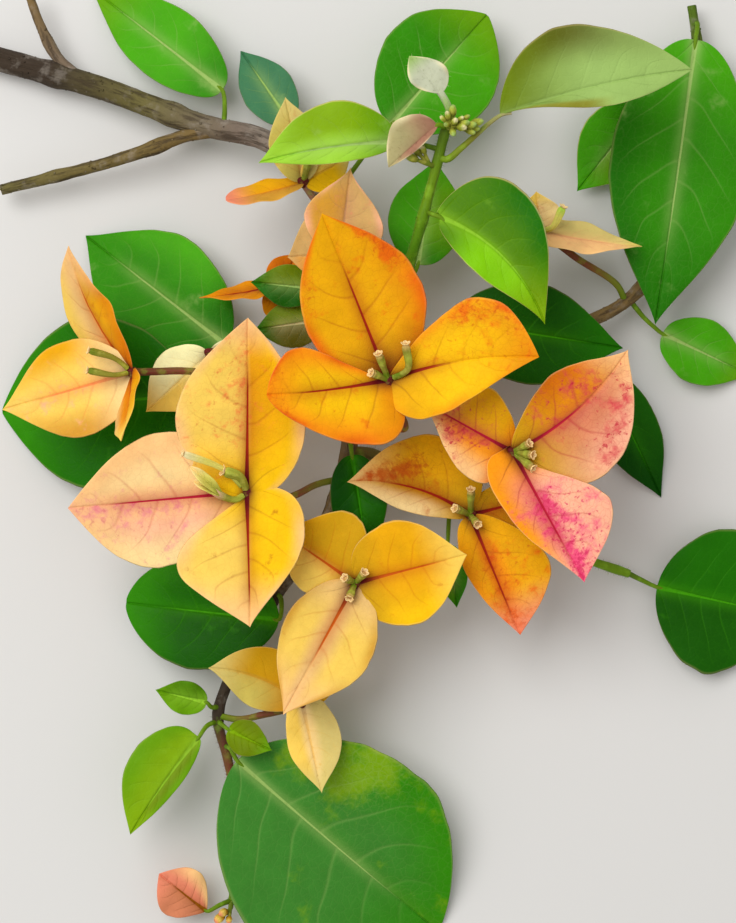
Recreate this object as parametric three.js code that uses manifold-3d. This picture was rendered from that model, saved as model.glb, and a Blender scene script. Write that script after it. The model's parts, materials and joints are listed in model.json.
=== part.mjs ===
// Cut flowering bougainvillea branch, lying on the floor with its blooms facing up.
// Millimetres, +Z up. The cut end of the branch is at -X, +Y, and its young tip at -Y.

import * as THREE from 'three';
import { mergeVertices } from 'three/addons/utils/BufferGeometryUtils.js';
import Module from 'manifold-3d';

const wasm = await Module();
wasm.setup();

// Places are given as an eye straight above sees them in the plane of the top blooms
const eyeHeight = 500;
const bloomPlane = 25;

// Free room between a stem and whatever grows on it
const joinGap = 0.32;

// Bracts and leaves: thickness, and the share of the half width that is left at base and tip
const bractThickness = 0.4;
const leafThickness = 0.46;
const leafLengthPerThickness = 85;
const baseRoundness = 0.55;
const baseWidth = 0.16;
const tipWidth = 0.05;
const endCrowding = 0.035;

// Steps across and along a blade, fewer on a narrow one
const wideGrid = [4, 5];
const narrowGrid = [2, 4];
const narrowWidth = 12;

// Stalks, petioles, flower tubes and buds
const stalkRadii = [0.7, 0.55];
const petioleRadii = [0.5, 0.35];
const petioleReach = 0.12;
const petioleSteps = 4;
const flowerRadius = 0.55;
const flowerTaper = 0.7;
const receptacleRadius = 1.15;
const budStalkRadii = [0.45, 0.35];
const budStalkSteps = 3;
const budSides = 7;
const budRings = 5;
const thinSides = 5;

// The woody axis, from the cut end to the young tip, and its radii
const axisPath = [
  [-74, 74.5, 2.34],
  [-66, 72.3, 3.2],
  [-48, 67.2, 5],
  [-30, 60.6, 7.5],
  [-18.5, 57.8, 9.4],
  [-9, 50.5, 10.8],
  [-4.1, 41.7, 11.6],
  [-2, 27.3, 11.8],
  [-2.6, 11.1, 11.6],
  [-4.6, -3.3, 11],
  [-9.4, -14.5, 9.8],
  [-15.2, -22, 8.8],
  [-20, -29.5, 8],
  [-24.2, -37.5, 7.6],
  [-27, -45.8, 7.4],
  [-25.4, -53, 6.2],
  [-23.8, -61, 4.6],
  [-23.4, -70, 3.6],
  [-24.6, -79, 3.2],
];
const cutRadius = 2.35;
const middleRadius = 1.75;
const tipRadius = 0.6;
const axisSides = 8;
const axisSteps = 8;

// The axis is divided at its nodes: shares of its length
const axisParts = [
  { name: 'branch_woody', from: 0, to: 0.345, slot: 'bark' },
  { name: 'branch_middle', from: 0.345, to: 0.62, slot: 'bark' },
  { name: 'branch_lower', from: 0.62, to: 0.835, slot: 'bark' },
  { name: 'branch_tip', from: 0.835, to: 1, slot: 'young_stem' },
];

// Side shoots and twigs: each leaves its parent at the place nearest to its first point
const shootSides = 6;
const shoots = [
  {
    name: 'shoot_upper', slot: 'young_stem', parent: 'axis', radii: [1.35, 0.85],
    path: [
      [1.8, 25.6, 14.2], [5.2, 30, 18.6], [7.9, 37.2, 22.6],
      [11.2, 48.9, 25.8], [13, 56, 27.2], [14, 60, 27.9],
    ],
  },
  {
    name: 'shoot_left', slot: 'young_stem', parent: 'axis', radii: [1.1, 0.7],
    path: [[-7, 11.3, 12.4], [-14, 13.4, 13.1], [-21, 14.8, 13.4], [-27, 16.3, 13.2]],
  },
  {
    name: 'shoot_right', slot: 'bark', parent: 'axis', radii: [1.45, 0.85],
    path: [
      [3, 20, 11.4], [14.8, 20.8, 10.2], [31, 22.8, 8.8], [46.3, 28.7, 7],
      [56, 42, 5], [60, 58, 3.8], [59.4, 74, 3.2], [58.3, 82, 3.4],
    ],
  },
  {
    name: 'shoot_lower_right', slot: 'young_stem', parent: 'axis', radii: [1.2, 0.75],
    path: [
      [1, 1.2, 10.8], [9, -3.6, 10.8], [18, -6, 10.4],
      [31, -14.5, 8], [41, -18.2, 5.6], [47, -20.2, 4.4],
    ],
  },
  {
    name: 'twig_top', slot: 'bark', parent: 'axis', radii: [1.1, 0.8],
    path: [[-56.6, 73.4, 4.8], [-59, 78.6, 5.2], [-61, 84, 5.4]],
  },
  {
    name: 'twig_left', slot: 'bark', parent: 'axis', radii: [1.3, 1],
    path: [[-35, 58, 7.2], [-48.2, 53.4, 6], [-66, 48.9, 4.6]],
  },
];

// Blades run from their base to their tip. skew and bow are shares of the width and length towards
// the blade's right, arch and cup towards its face, widest the place of the full width, point the
// sharpness of the tip, fold the angle by which both halves rise from the midrib
const bractShape = { skew: 0, bow: 0, arch: -0.03, fold: 0.14, cup: -0.06, widest: 0.42, point: 0.6 };
const leafShape = { skew: 0, bow: 0, arch: 0.04, fold: 0.14, cup: -0.08, widest: 0.42, point: 0.6 };

// Blooms: bracts round a centre, flower tubes that start there, and a stalk down to the parent
const blooms = [
  {
    name: 'bloom_big_yellow', slot: 'bract_yellow', parent: 'axis', centre: [-21.8, -5.5, 25],
    stalk: [[-18.4, -6.8, 21.8], [-13.8, -6.3, 19.4], [-9.4, -4.2, 15.8], [-6.2, -3.4, 13.8]],
    bracts: [
      { tip: [-21.6, 25.8, 31.5], width: 23.4, skew: -0.1 },
      { tip: [-54, -8.4, 31], width: 24.4 },
      { tip: [-21.2, -29.8, 29], width: 23.2, skew: 0.1 },
    ],
    flowers: [
      { path: [[-4.1, 4.1, 3.6], [-11.3, 7, 6.4]], radius: 0.6 },
      { path: [[-5.7, 0, 3], [-9.4, 4, 5.4]], radius: 0.8 },
      { path: [[-1.2, 2.8, 2.2], [-4, 3.8, 3.2]], radius: 0.6 },
    ],
  },
  {
    name: 'bloom_orange', slot: 'bract_orange', parent: 'axis', centre: [3.6, 14.7, 30],
    stalk: [[2.6, 14.2, 25], [0.6, 13.4, 18.6], [-0.4, 13.2, 15]],
    bracts: [
      { tip: [-8.3, 44.7, 36], width: 22.4, skew: 0.08, widest: 0.46 },
      { tip: [-18.2, 12, 35.6], width: 18.9, skew: -0.2, widest: 0.36 },
      { tip: [30.8, 18.8, 37], width: 18.9, skew: -0.1, widest: 0.52, bow: -0.07 },
    ],
    flowers: [
      { path: [[-2.9, 1.1, 2.6]] },
      { path: [[-1.7, 4.4, 3.6]] },
      { path: [[3.5, 1.9, 1.8], [3.1, 6.3, 3.9]] },
    ],
  },
  {
    name: 'bloom_pink', slot: 'bract_pink', parent: 'shoot_lower_right', centre: [26.1, 1.7, 25],
    stalk: [[23.6, -0.6, 22.5], [20.4, -3.4, 15.6], [19.9, -4.6, 13]],
    bracts: [
      { tip: [10.3, 9.3, 27], width: 16 },
      { tip: [46.8, 20.1, 33], width: 20, skew: 0.25, widest: 0.45 },
      { tip: [38.9, -21.7, 32], width: 20.4, skew: -0.14 },
    ],
    flowers: [{ path: [[2.7, 1.5, 2.4]] }, { path: [[3.3, -0.5, 2.6]] }, { path: [[3.4, -2.8, 2.2]] }],
  },
  {
    name: 'bloom_olive', slot: 'bract_olive', parent: 'shoot_lower_right', centre: [18.4, -9.6, 16],
    stalk: [[18.5, -8.8, 14.2], [18.6, -8, 13]],
    bracts: [
      { tip: [-3.8, -3.7, 19.5], width: 15.3, skew: 0.4 },
      { tip: [27.4, -31.2, 20.5], width: 15, skew: -0.35, widest: 0.44 },
      { tip: [35, -5.5, 14.5], width: 9 },
    ],
    flowers: [{ path: [[0, 4.6, 3.4]] }, { path: [[-2.8, 1.2, 3]] }, { path: [[1.2, -1.6, 2.8]] }],
  },
  {
    name: 'bloom_golden', slot: 'bract_golden', parent: 'axis', centre: [-2.3, -21.9, 20],
    stalk: [[-4.4, -21.6, 15.8], [-7.4, -20.4, 12.8], [-9, -19, 11.8]],
    bracts: [
      { tip: [-16, -12.5, 21], width: 15.3, skew: 0.15 },
      { tip: [17.8, -16.8, 24.5], width: 19.8, skew: 0.04 },
      { tip: [-15.3, -45.6, 25.5], width: 17.5, skew: -0.07 },
    ],
    flowers: [{ path: [[-1.8, 1, 2.4]] }, { path: [[1.6, 2, 2.4]] }, { path: [[-1, -2.5, 2.2]] }],
  },
  {
    name: 'bloom_side_left', slot: 'bract_amber', parent: 'shoot_left', centre: [-42.5, 16.1, 23],
    stalk: [[-38, 16.2, 22.8], [-33, 16.3, 22.2], [-24, 15.4, 20.4], [-16.6, 14.4, 16]],
    bracts: [
      { tip: [-65.9, 9.3, 19.5], width: 18, face: [-0.1, 0, 1] },
      { tip: [-54, 38.8, 28], width: 17, widest: 0.46, face: [-0.75, -0.2, 0.65] },
      { tip: [-44.6, 3.7, 31], width: 13, widest: 0.46, face: [-0.9, 0, 0.45] },
    ],
    flowers: [
      { path: [[-3, 2.6, 1.6], [-8.5, 4, 2.8]] },
      { path: [[-3, -0.6, 2], [-8.8, -0.3, 2.6]] },
    ],
  },
  {
    name: 'bloom_small_lower', slot: 'bract_pale', parent: 'axis', centre: [-11.9, -43.3, 13.6],
    stalk: [[-14.6, -44.6, 11.8], [-19, -45.6, 10.8], [-23, -46.4, 9.8]],
    bracts: [
      { tip: [-28.8, -37.2, 15.5], width: 10.4, skew: 0.2 },
      { tip: [-8.3, -59.7, 16], width: 10.5, skew: -0.25, widest: 0.44 },
      { tip: [-3, -34.5, 12.5], width: 9 },
    ],
    flowers: [{ path: [[0.4, 1.4, 2.4]] }],
  },
  {
    name: 'bloom_peach_back', slot: 'bract_peach', parent: 'axis', centre: [-11.7, 50.3, 17],
    stalk: [[-10.2, 48, 15.6], [-8.2, 45.4, 14.4], [-7, 45.6, 13.6]],
    bracts: [
      { tip: [-14.9, 65.6, 18.5], width: 9.6, widest: 0.44 },
      { tip: [-25.6, 47.1, 18.5], width: 9, widest: 0.46, face: [0, 0.85, 0.5] },
      { tip: [-3, 55, 16.5], width: 8 },
    ],
    flowers: [{ path: [[0.6, -0.8, 2.4]] }],
  },
  {
    name: 'bloom_peach_middle', slot: 'bract_peach', parent: 'axis', centre: [-5, 37.5, 21.5],
    stalk: [[-4.6, 37.2, 18], [-3.8, 37, 14.6]],
    bracts: [
      { tip: [-3.1, 53, 22.5], width: 14.5, widest: 0.44 },
      { tip: [-14.5, 36.8, 21], width: 12.5, skew: 0.3 },
      { tip: [-9.5, 27.5, 18.5], width: 8.5 },
    ],
    flowers: [{ path: [[0.4, 0.6, 2.6]] }],
  },
  {
    name: 'bloom_orange_back', slot: 'bract_amber', parent: 'axis', centre: [-17.5, 31.4, 11.4],
    stalk: [[-14, 31.2, 10], [-9, 30.8, 10.2], [-5, 30.4, 11]],
    bracts: [
      { tip: [-30.4, 29.6, 14], width: 7, widest: 0.44, face: [0, 0.85, 0.5] },
      { tip: [-14, 24, 8.5], width: 6.4 },
      { tip: [-12, 37.5, 9], width: 6.4 },
    ],
    flowers: [{ path: [[0, 0.4, 2.2]] }],
  },
  {
    name: 'bloom_pale_left', slot: 'bract_pale', parent: 'shoot_left', centre: [-28.5, 19.5, 17.4],
    stalk: [[-28, 18.8, 15.8], [-27, 17.8, 14.8]],
    bracts: [
      { tip: [-40, 8.9, 17.5], width: 11.4 },
      { tip: [-17.5, 24, 15.5], width: 9 },
      { tip: [-22, 8, 16.5], width: 9 },
    ],
    flowers: [{ path: [[-0.4, 1, 2.2]] }],
  },
  {
    name: 'bloom_side_right', slot: 'bract_peach', parent: 'shoot_right', centre: [31, 41.5, 15],
    stalk: [[33.4, 39.8, 13], [37.6, 36.6, 11.4], [44.6, 32, 9.6]],
    bracts: [
      { tip: [49, 38.4, 16.5], width: 10, widest: 0.46, face: [0, 0.8, 0.6] },
      { tip: [30.5, 50, 17], width: 9.5 },
      { tip: [21, 36, 13.5], width: 9 },
    ],
    flowers: [{ path: [[2.2, 0.6, 2], [4, 4.1, 3.4]] }],
  },
];

// Leaves: a petiole along its own path to the base of a blade. One that rests lies on the floor
const leaves = [
  {
    name: 'leaf_top_left', slot: 'leaf_young', parent: 'shoot_upper', petiole: [[9.5, 57, 27]],
    base: [5, 57.5, 27], tip: [-19.8, 53.7, 26], width: 11.2, skew: 0.45, bow: 0.03,
  },
  {
    name: 'leaf_top_right', slot: 'leaf_young', parent: 'shoot_upper', petiole: [[12, 44.4, 26.4]],
    base: [13, 44, 26.8], tip: [31.9, 24.6, 29.5], width: 17.6, skew: -0.36, bow: -0.15,
  },
  {
    name: 'leaf_top_far_right', slot: 'leaf_olive', parent: 'shoot_upper', petiole: [[18.2, 58.6, 27.8]],
    base: [23.4, 61.4, 29.2], tip: [58.3, 70.5, 32], width: 14.5, bow: -0.13,
  },
  {
    name: 'leaf_bud_white', slot: 'leaf_bud', parent: 'shoot_upper', petiole: [[14.8, 62.6, 29]],
    base: [13.9, 66, 30.4], tip: [7.4, 72.5, 32], width: 4.8,
  },
  {
    name: 'leaf_bud_tan', slot: 'leaf_bud', parent: 'shoot_upper', petiole: [[12.8, 59.6, 29.6]],
    base: [11.6, 59.4, 30.4], tip: [4, 53.4, 30.4], width: 7,
  },
  {
    name: 'leaf_lime_big', slot: 'leaf_lime', parent: 'axis', petiole: [[-29, -47.6, 9.6]],
    base: [-30.4, -49.6, 10.8], tip: [-42.8, -67.2, 14], width: 11.6, bow: 0.12,
  },
  {
    name: 'leaf_lime_small', slot: 'leaf_lime', parent: 'axis', petiole: [[-28.2, -44.2, 9.8]],
    base: [-29, -43.4, 11.2], tip: [-38.3, -41.1, 13], width: 6.4,
  },
  {
    name: 'leaf_olive_small', slot: 'leaf_olive', parent: 'axis', petiole: [[-26.2, -47.4, 10.2]],
    base: [-25.2, -48.2, 12.2], tip: [-17.3, -52, 14.6], width: 6.8,
  },
  {
    name: 'leaf_big_bottom', slot: 'leaf_mature', parent: 'axis', petiole: [[-24.8, -51.6, 8.4]],
    base: [-23.6, -53.8, 9], tip: [12.6, -84.6, 1], width: 42,
    widest: 0.5, cup: 0.08, point: 0.2, rests: true,
  },
  {
    name: 'leaf_dark_left', slot: 'leaf_dark', parent: 'axis', petiole: [[-15.6, -25, 11.2]],
    base: [-16, -28.5, 11.6], tip: [-43.6, -25.4, 5], width: 22, widest: 0.48, point: 0.3,
  },
  {
    name: 'leaf_dark_upper', slot: 'leaf_dark', parent: 'axis', petiole: [[-5.4, 29.6, 14.2]],
    base: [-9, 31, 14.8], tip: [-21.2, 32.3, 15], width: 8,
  },
  {
    name: 'leaf_dark_lower', slot: 'leaf_dark', parent: 'axis', petiole: [[-5.2, 25.4, 13]],
    base: [-8.3, 25.4, 13.2], tip: [-20.5, 23.7, 13], width: 9,
  },
  {
    name: 'leaf_back_left', slot: 'leaf_mature', parent: 'shoot_left', petiole: [[-23.4, 18, 11.4]],
    base: [-25.6, 21, 8.4], tip: [-51, 40.8, 1], width: 23, widest: 0.45, rests: true,
  },
  {
    name: 'leaf_back_far_left', slot: 'leaf_dark', parent: 'shoot_left', petiole: [[-27.6, 13.4, 11]],
    base: [-32, 12, 9], tip: [-66, 9, 1], width: 33, widest: 0.47, point: 0.3, rests: true,
  },
  {
    name: 'leaf_back_top', slot: 'leaf_mature', parent: 'axis', petiole: [[-4.4, 50.4, 11.2], [0, 56, 11.6]],
    base: [4, 60.5, 11.8], tip: [21.5, 80.4, 7], width: 23, widest: 0.48, point: 0.25,
  },
  {
    name: 'leaf_back_top_left', slot: 'leaf_mature', parent: 'axis', petiole: [[-25.8, 63.4, 9]],
    base: [-26.2, 66.8, 9], tip: [-50, 85.4, 2], width: 14, skew: 0.06, rests: true,
  },
  {
    name: 'leaf_back_blue', slot: 'leaf_dark', parent: 'axis', petiole: [[-14.4, 58, 9.8]],
    base: [-14, 61, 9], tip: [-23, 74, 4], width: 10,
  },
  {
    name: 'leaf_right_huge', slot: 'leaf_mature', parent: 'shoot_right', petiole: [[59.3, 78.8, 5.4]],
    base: [59, 76, 7], tip: [51.7, 24.6, 11.5], width: 26, widest: 0.45, cup: -0.1, arch: 0.03,
  },
  {
    name: 'leaf_right_light', slot: 'leaf_young', parent: 'shoot_right', petiole: [[55, 63, 4.6]],
    base: [50, 64, 5], tip: [37.6, 48.6, 4], width: 14,
  },
  {
    name: 'leaf_right_dark', slot: 'leaf_dark', parent: 'shoot_right', petiole: [[37, 21, 6.8]],
    base: [42, 16, 5.4], tip: [52.9, -6.6, 1], width: 11.5, rests: true,
  },
  {
    name: 'leaf_right_edge', slot: 'leaf_mature', parent: 'shoot_right', petiole: [[49.6, 26, 5.8]],
    base: [53, 23, 4.6], tip: [69, 15.4, 1], width: 12.5, rests: true,
  },
  {
    name: 'leaf_right_round', slot: 'leaf_mature', parent: 'shoot_lower_right', petiole: [[49, -21.2, 4]],
    base: [52, -22.6, 3.8], tip: [74.5, -27.6, 1], width: 28, widest: 0.48, point: 0.3, rests: true,
  },
  {
    name: 'leaf_behind_orange', slot: 'leaf_dark', parent: 'shoot_right', petiole: [[12, 23.4, 12]],
    base: [15.7, 25, 12.6], tip: [46, 20.4, 11.6], width: 19,
  },
  {
    name: 'leaf_dark_middle', slot: 'leaf_dark', parent: 'axis', petiole: [[-3.2, 3.6, 14]],
    base: [-2.9, 1.2, 14.8], tip: [0, -17.7, 14.6], width: 10.5,
  },
  {
    name: 'leaf_sliver', slot: 'leaf_mature', parent: 'shoot_lower_right', petiole: [[14.8, -8.4, 9.6]],
    base: [14.4, -15, 9.6], tip: [16, -26.4, 10], width: 6,
  },
  {
    name: 'leaf_behind_shoot', slot: 'leaf_mature', parent: 'shoot_upper', petiole: [[7, 31.6, 15.6]],
    base: [9, 35.4, 13], tip: [12.2, 54.3, 9.5], width: 14,
  },
  {
    name: 'leaf_bottom_red', slot: 'leaf_red', parent: 'axis', petiole: [[-26.4, -77.6, 4.4]],
    base: [-28.8, -78.2, 5.2], tip: [-37.4, -76, 7], width: 8,
  },
];

// Bud clusters: round buds on a forked stalk that starts at its root
const budClusters = [
  {
    name: 'buds_top', parent: 'shoot_upper', root: [15, 60.4, 30], radius: 0.9, length: 1.3,
    buds: [[16.6, 61.4, 31.4], [18.2, 60.4, 31.6], [15.4, 59.2, 31.6]],
  },
  {
    name: 'buds_side', parent: 'shoot_upper', root: [11.4, 54.4, 27.6], radius: 0.75, length: 1.1,
    buds: [[9.8, 54.6, 28.8], [8.8, 53.4, 28.8]],
  },
  {
    name: 'buds_bottom', parent: 'axis', root: [-24.8, -80.6, 4], radius: 0.7, length: 1,
    buds: [[-25, -82.4, 4.6], [-26.7, -81.4, 4.8]],
  },
];

// Materials: colour and roughness
const looks = {
  bark: [0x6e5a48, 0.85],
  young_stem: [0x7c8a3a, 0.6],
  bract_yellow: [0xf2c24a, 0.6],
  bract_orange: [0xf28a1c, 0.6],
  bract_pink: [0xee7a5c, 0.6],
  bract_olive: [0xd9a032, 0.6],
  bract_golden: [0xf0b83a, 0.6],
  bract_amber: [0xf0a838, 0.6],
  bract_peach: [0xe8b070, 0.6],
  bract_pale: [0xe8c860, 0.6],
  leaf_young: [0x7cb518, 0.45],
  leaf_lime: [0x8cc41c, 0.45],
  leaf_olive: [0x93a83c, 0.45],
  leaf_mature: [0x2f8a2c, 0.45],
  leaf_dark: [0x1c5f1c, 0.45],
  leaf_bud: [0xb9b48a, 0.55],
  leaf_red: [0xd8735c, 0.55],
  bud: [0x9aa63c, 0.55],
};

// Moves a place from the bloom plane to its own height along the line of sight
function seen([x, y, z]) {
  const spread = (eyeHeight - z) / (eyeHeight - bloomPlane);
  return new THREE.Vector3(x * spread, y * spread, z);
}

function smoothCurve(points) {
  return new THREE.CatmullRomCurve3(points, false, 'centripetal');
}

function between([start, end]) {
  return (share) => THREE.MathUtils.lerp(start, end, share);
}

// Share of the half width at a share of the length: round at the base, pointed at the tip
function bladeProfile(along, widest, point) {
  const power = Math.log(0.5) / Math.log(widest);
  const bulge = Math.sin(Math.PI * Math.pow(along, power));
  const sharpness = baseRoundness + point * along;
  const least = THREE.MathUtils.lerp(baseWidth, tipWidth, along);
  return Math.max(Math.pow(Math.max(bulge, 0), sharpness), least);
}

// Point of a blade: along 0..1 from base to tip, across -1..1, level -0.5..0.5 through it
function bladePoint(blade, along, across, level) {
  const chord = blade.tip.clone().sub(blade.base);
  const ahead = chord.clone().normalize();
  const facing = blade.face.clone().addScaledVector(ahead, -blade.face.dot(ahead)).normalize();
  const sideways = ahead.clone().cross(facing);
  const hump = 4 * along * (1 - along) * chord.length();
  const slope = 4 * (1 - 2 * along);
  const tangent = ahead.clone().addScaledVector(facing, blade.arch * slope);
  tangent.addScaledVector(sideways, blade.bow * slope).normalize();
  const normal = facing.clone().addScaledVector(tangent, -facing.dot(tangent)).normalize();
  const side = tangent.clone().cross(normal);
  const profile = bladeProfile(along, blade.widest, blade.point);
  const half = (blade.width / 2) * profile * (1 + blade.skew * Math.sign(across));
  const reach = half * Math.abs(across);
  const rise = reach * Math.sin(blade.fold) + blade.cup * reach * Math.abs(across);
  const point = blade.base.clone().addScaledVector(chord, along);
  point.addScaledVector(facing, blade.arch * hump).addScaledVector(sideways, blade.bow * hump);
  point.addScaledVector(side, half * across * Math.cos(blade.fold));
  point.addScaledVector(normal, rise + level * blade.thickness);
  return point;
}

// Blade: a thin box bent over the blade's surface
function bladeBody(blade) {
  const [acrossSteps, alongSteps] = blade.width < narrowWidth ? narrowGrid : wideGrid;
  const body = new THREE.BoxGeometry(2, 1, 1, acrossSteps, alongSteps, 1);
  const places = body.attributes.position;
  for (let i = 0; i < places.count; i += 1) {
    const even = places.getY(i) + 0.5;
    const along = even + endCrowding * Math.sin(2 * Math.PI * even);
    const point = bladePoint(blade, along, places.getX(i), places.getZ(i));
    places.setXYZ(i, point.x, point.y, point.z);
  }
  return body;
}

// Lets a blade's tip down until the blade touches the floor
function layDown(blade) {
  const rounds = 8;
  for (let round = 0; round < rounds; round += 1) {
    const body = bladeBody(blade);
    body.computeBoundingBox();
    blade.tip.z -= body.boundingBox.min.z;
  }
}

// Limb: a closed cylinder bent along a curve, from one share of its length to another
function limbBody(curve, [from, to], radiusAt, sides, steps) {
  const body = new THREE.CylinderGeometry(1, 1, 1, sides, steps, false);
  const frameCount = 200;
  const frames = curve.computeFrenetFrames(frameCount, false);
  const places = body.attributes.position;
  for (let i = 0; i < places.count; i += 1) {
    const share = THREE.MathUtils.lerp(from, to, places.getY(i) + 0.5);
    const frame = Math.round(share * frameCount);
    const radius = radiusAt(share);
    const point = curve.getPointAt(share);
    point.addScaledVector(frames.binormals[frame], places.getX(i) * radius);
    point.addScaledVector(frames.normals[frame], places.getZ(i) * radius);
    places.setXYZ(i, point.x, point.y, point.z);
  }
  return body;
}

// Closed solid of a geometry, and the geometry of a solid
function solidOf(geometry) {
  const sameWithin = 1e-5;
  const bare = geometry.clone();
  bare.deleteAttribute('normal');
  bare.deleteAttribute('uv');
  const joined = mergeVertices(bare, sameWithin);
  const mesh = new wasm.Mesh({
    numProp: 3,
    vertProperties: Float32Array.from(joined.attributes.position.array),
    triVerts: Uint32Array.from(joined.index.array),
  });
  return new wasm.Manifold(mesh);
}

function geometryOf(solid) {
  const mesh = solid.getMesh();
  const geometry = new THREE.BufferGeometry();
  geometry.setAttribute('position', new THREE.BufferAttribute(mesh.vertProperties, 3));
  geometry.setIndex(new THREE.BufferAttribute(mesh.triVerts, 1));
  geometry.computeVertexNormals();
  return geometry;
}

function united(bodies) {
  let whole = solidOf(bodies[0]);
  for (const body of bodies.slice(1)) {
    whole = whole.add(solidOf(body));
  }
  return geometryOf(whole);
}

// Stems by name, for whatever grows on them: each has a curve and a radius along it
const stems = new Map();

// Start of a stalk: beside its parent stem, at the place nearest to the stalk's next point
function footOn(parentName, next) {
  const stem = stems.get(parentName);
  const places = 400;
  let best = { distance: Infinity };
  for (let i = 0; i <= places; i += 1) {
    const share = i / places;
    const point = stem.curve.getPointAt(share);
    const distance = point.distanceTo(next);
    if (distance < best.distance) {
      best = { distance, point, share };
    }
  }
  const away = next.clone().sub(best.point).normalize();
  const lean = away.dot(stem.curve.getTangentAt(best.share));
  const clear = joinGap + stem.radiusAt(best.share) * Math.sqrt(Math.max(0, 1 - lean * lean));
  return best.point.clone().addScaledVector(away, clear);
}

// Mesh of one sub-part, placed at its own root
function subPart(name, slot, geometry, root) {
  const [color, roughness] = looks[slot];
  const material = new THREE.MeshStandardMaterial({ color, roughness, metalness: 0 });
  geometry.translate(-root.x, -root.y, -root.z);
  const mesh = new THREE.Mesh(geometry, material);
  mesh.name = name;
  mesh.position.copy(root);
  return mesh;
}

// Blade of a bract or leaf: its own values over the values that its kind shares
function bladeFrom(given, base, shape) {
  const face = new THREE.Vector3(...(given.face ?? [0, 0, 1]));
  return { ...shape, ...given, base, tip: seen(given.tip), face };
}

function axisRadiusAt(share) {
  const toMiddle = THREE.MathUtils.lerp(cutRadius, middleRadius, 2 * share);
  const toTip = THREE.MathUtils.lerp(middleRadius, tipRadius, 2 * share - 1);
  return share < 0.5 ? toMiddle : toTip;
}

function makeAxis() {
  const group = new THREE.Group();
  const curve = smoothCurve(axisPath.map(seen));
  const gapShare = joinGap / curve.getLength();
  stems.set('axis', { curve, radiusAt: axisRadiusAt });
  for (const part of axisParts) {
    const from = part.from === 0 ? 0 : part.from + gapShare;
    const body = limbBody(curve, [from, part.to], axisRadiusAt, axisSides, axisSteps);
    group.add(subPart(part.name, part.slot, body, curve.getPointAt(from)));
  }
  return group;
}

function makeShoot(shoot) {
  const points = shoot.path.map(seen);
  const curve = smoothCurve([footOn(shoot.parent, points[0]), ...points]);
  const radiusAt = between(shoot.radii);
  stems.set(shoot.name, { curve, radiusAt });
  const body = limbBody(curve, [0, 1], radiusAt, shootSides, 2 * points.length);
  return subPart(shoot.name, shoot.slot, body, curve.getPointAt(0));
}

function flowerTube(flower, centre) {
  const radius = flower.radius ?? flowerRadius;
  const path = flower.path.map((step) => centre.clone().add(new THREE.Vector3(...step)));
  const curve = smoothCurve([centre.clone(), ...path]);
  return limbBody(curve, [0, 1], between([flowerTaper * radius, radius]), thinSides, path.length + 1);
}

function makeBloom(bloom) {
  const centre = seen(bloom.centre);
  const way = bloom.stalk.map(seen);
  const stalk = smoothCurve([centre, ...way, footOn(bloom.parent, way[way.length - 1])]);
  const receptacle = new THREE.OctahedronGeometry(receptacleRadius, 1);
  receptacle.translate(centre.x, centre.y, centre.z);
  const shape = { ...bractShape, thickness: bractThickness };
  const bodies = [
    limbBody(stalk, [0, 1], between(stalkRadii), thinSides, way.length + 1),
    receptacle,
    ...bloom.bracts.map((bract) => bladeBody(bladeFrom(bract, centre, shape))),
    ...bloom.flowers.map((flower) => flowerTube(flower, centre)),
  ];
  return subPart(bloom.name, bloom.slot, united(bodies), centre);
}

function makeLeaf(leaf) {
  const base = seen(leaf.base);
  const way = leaf.petiole.map(seen);
  const length = base.distanceTo(seen(leaf.tip));
  const thickness = Math.max(leafThickness, length / leafLengthPerThickness);
  const blade = bladeFrom(leaf, base, { ...leafShape, thickness });
  if (leaf.rests) {
    layDown(blade);
  }
  const inside = bladePoint(blade, petioleReach, 0, -0.5);
  const petiole = smoothCurve([footOn(leaf.parent, way[0]), ...way, base, inside]);
  const stalk = limbBody(petiole, [0, 1], between(petioleRadii), thinSides, petioleSteps);
  return subPart(leaf.name, leaf.slot, united([bladeBody(blade), stalk]), base);
}

function budBall(cluster, place, direction) {
  const ball = new THREE.SphereGeometry(1, budSides, budRings);
  const turn = new THREE.Quaternion().setFromUnitVectors(new THREE.Vector3(0, 1, 0), direction);
  ball.scale(cluster.radius, cluster.length, cluster.radius);
  ball.applyQuaternion(turn);
  ball.translate(place.x, place.y, place.z);
  return ball;
}

function makeBuds(cluster) {
  const root = seen(cluster.root);
  const foot = footOn(cluster.parent, root);
  const bodies = cluster.buds.map(seen).flatMap((place) => {
    const stalk = smoothCurve([foot, root, place]);
    const body = limbBody(stalk, [0, 1], between(budStalkRadii), thinSides, budStalkSteps);
    return [body, budBall(cluster, place, stalk.getTangentAt(1))];
  });
  return subPart(cluster.name, 'bud', united(bodies), root);
}

function groupOf(list, make) {
  const group = new THREE.Group();
  for (const item of list) {
    group.add(make(item));
  }
  return group;
}

// The plant stands in its group as laid out, moved so that the origin is the middle of its box's bottom
const plant = new THREE.Group();
plant.add(makeAxis());
plant.add(groupOf(shoots, makeShoot));
plant.add(groupOf(blooms, makeBloom));
plant.add(groupOf(leaves, makeLeaf));
plant.add(groupOf(budClusters, makeBuds));
const box = new THREE.Box3().setFromObject(plant, true);
const middle = box.getCenter(new THREE.Vector3());
plant.position.set(-middle.x, -middle.y, -box.min.z);

const branch = new THREE.Group();
branch.name = 'bougainvillea_branch';
branch.add(plant);

export default branch;
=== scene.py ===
# Cut bougainvillea branch, lying on the floor with its blooms facing up.
# Places and sizes are in millimetres and become metres where a mesh is made.

import json
import math
from types import SimpleNamespace

import bpy
import numpy as np
from mathutils import Matrix, Quaternion, Vector

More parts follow.
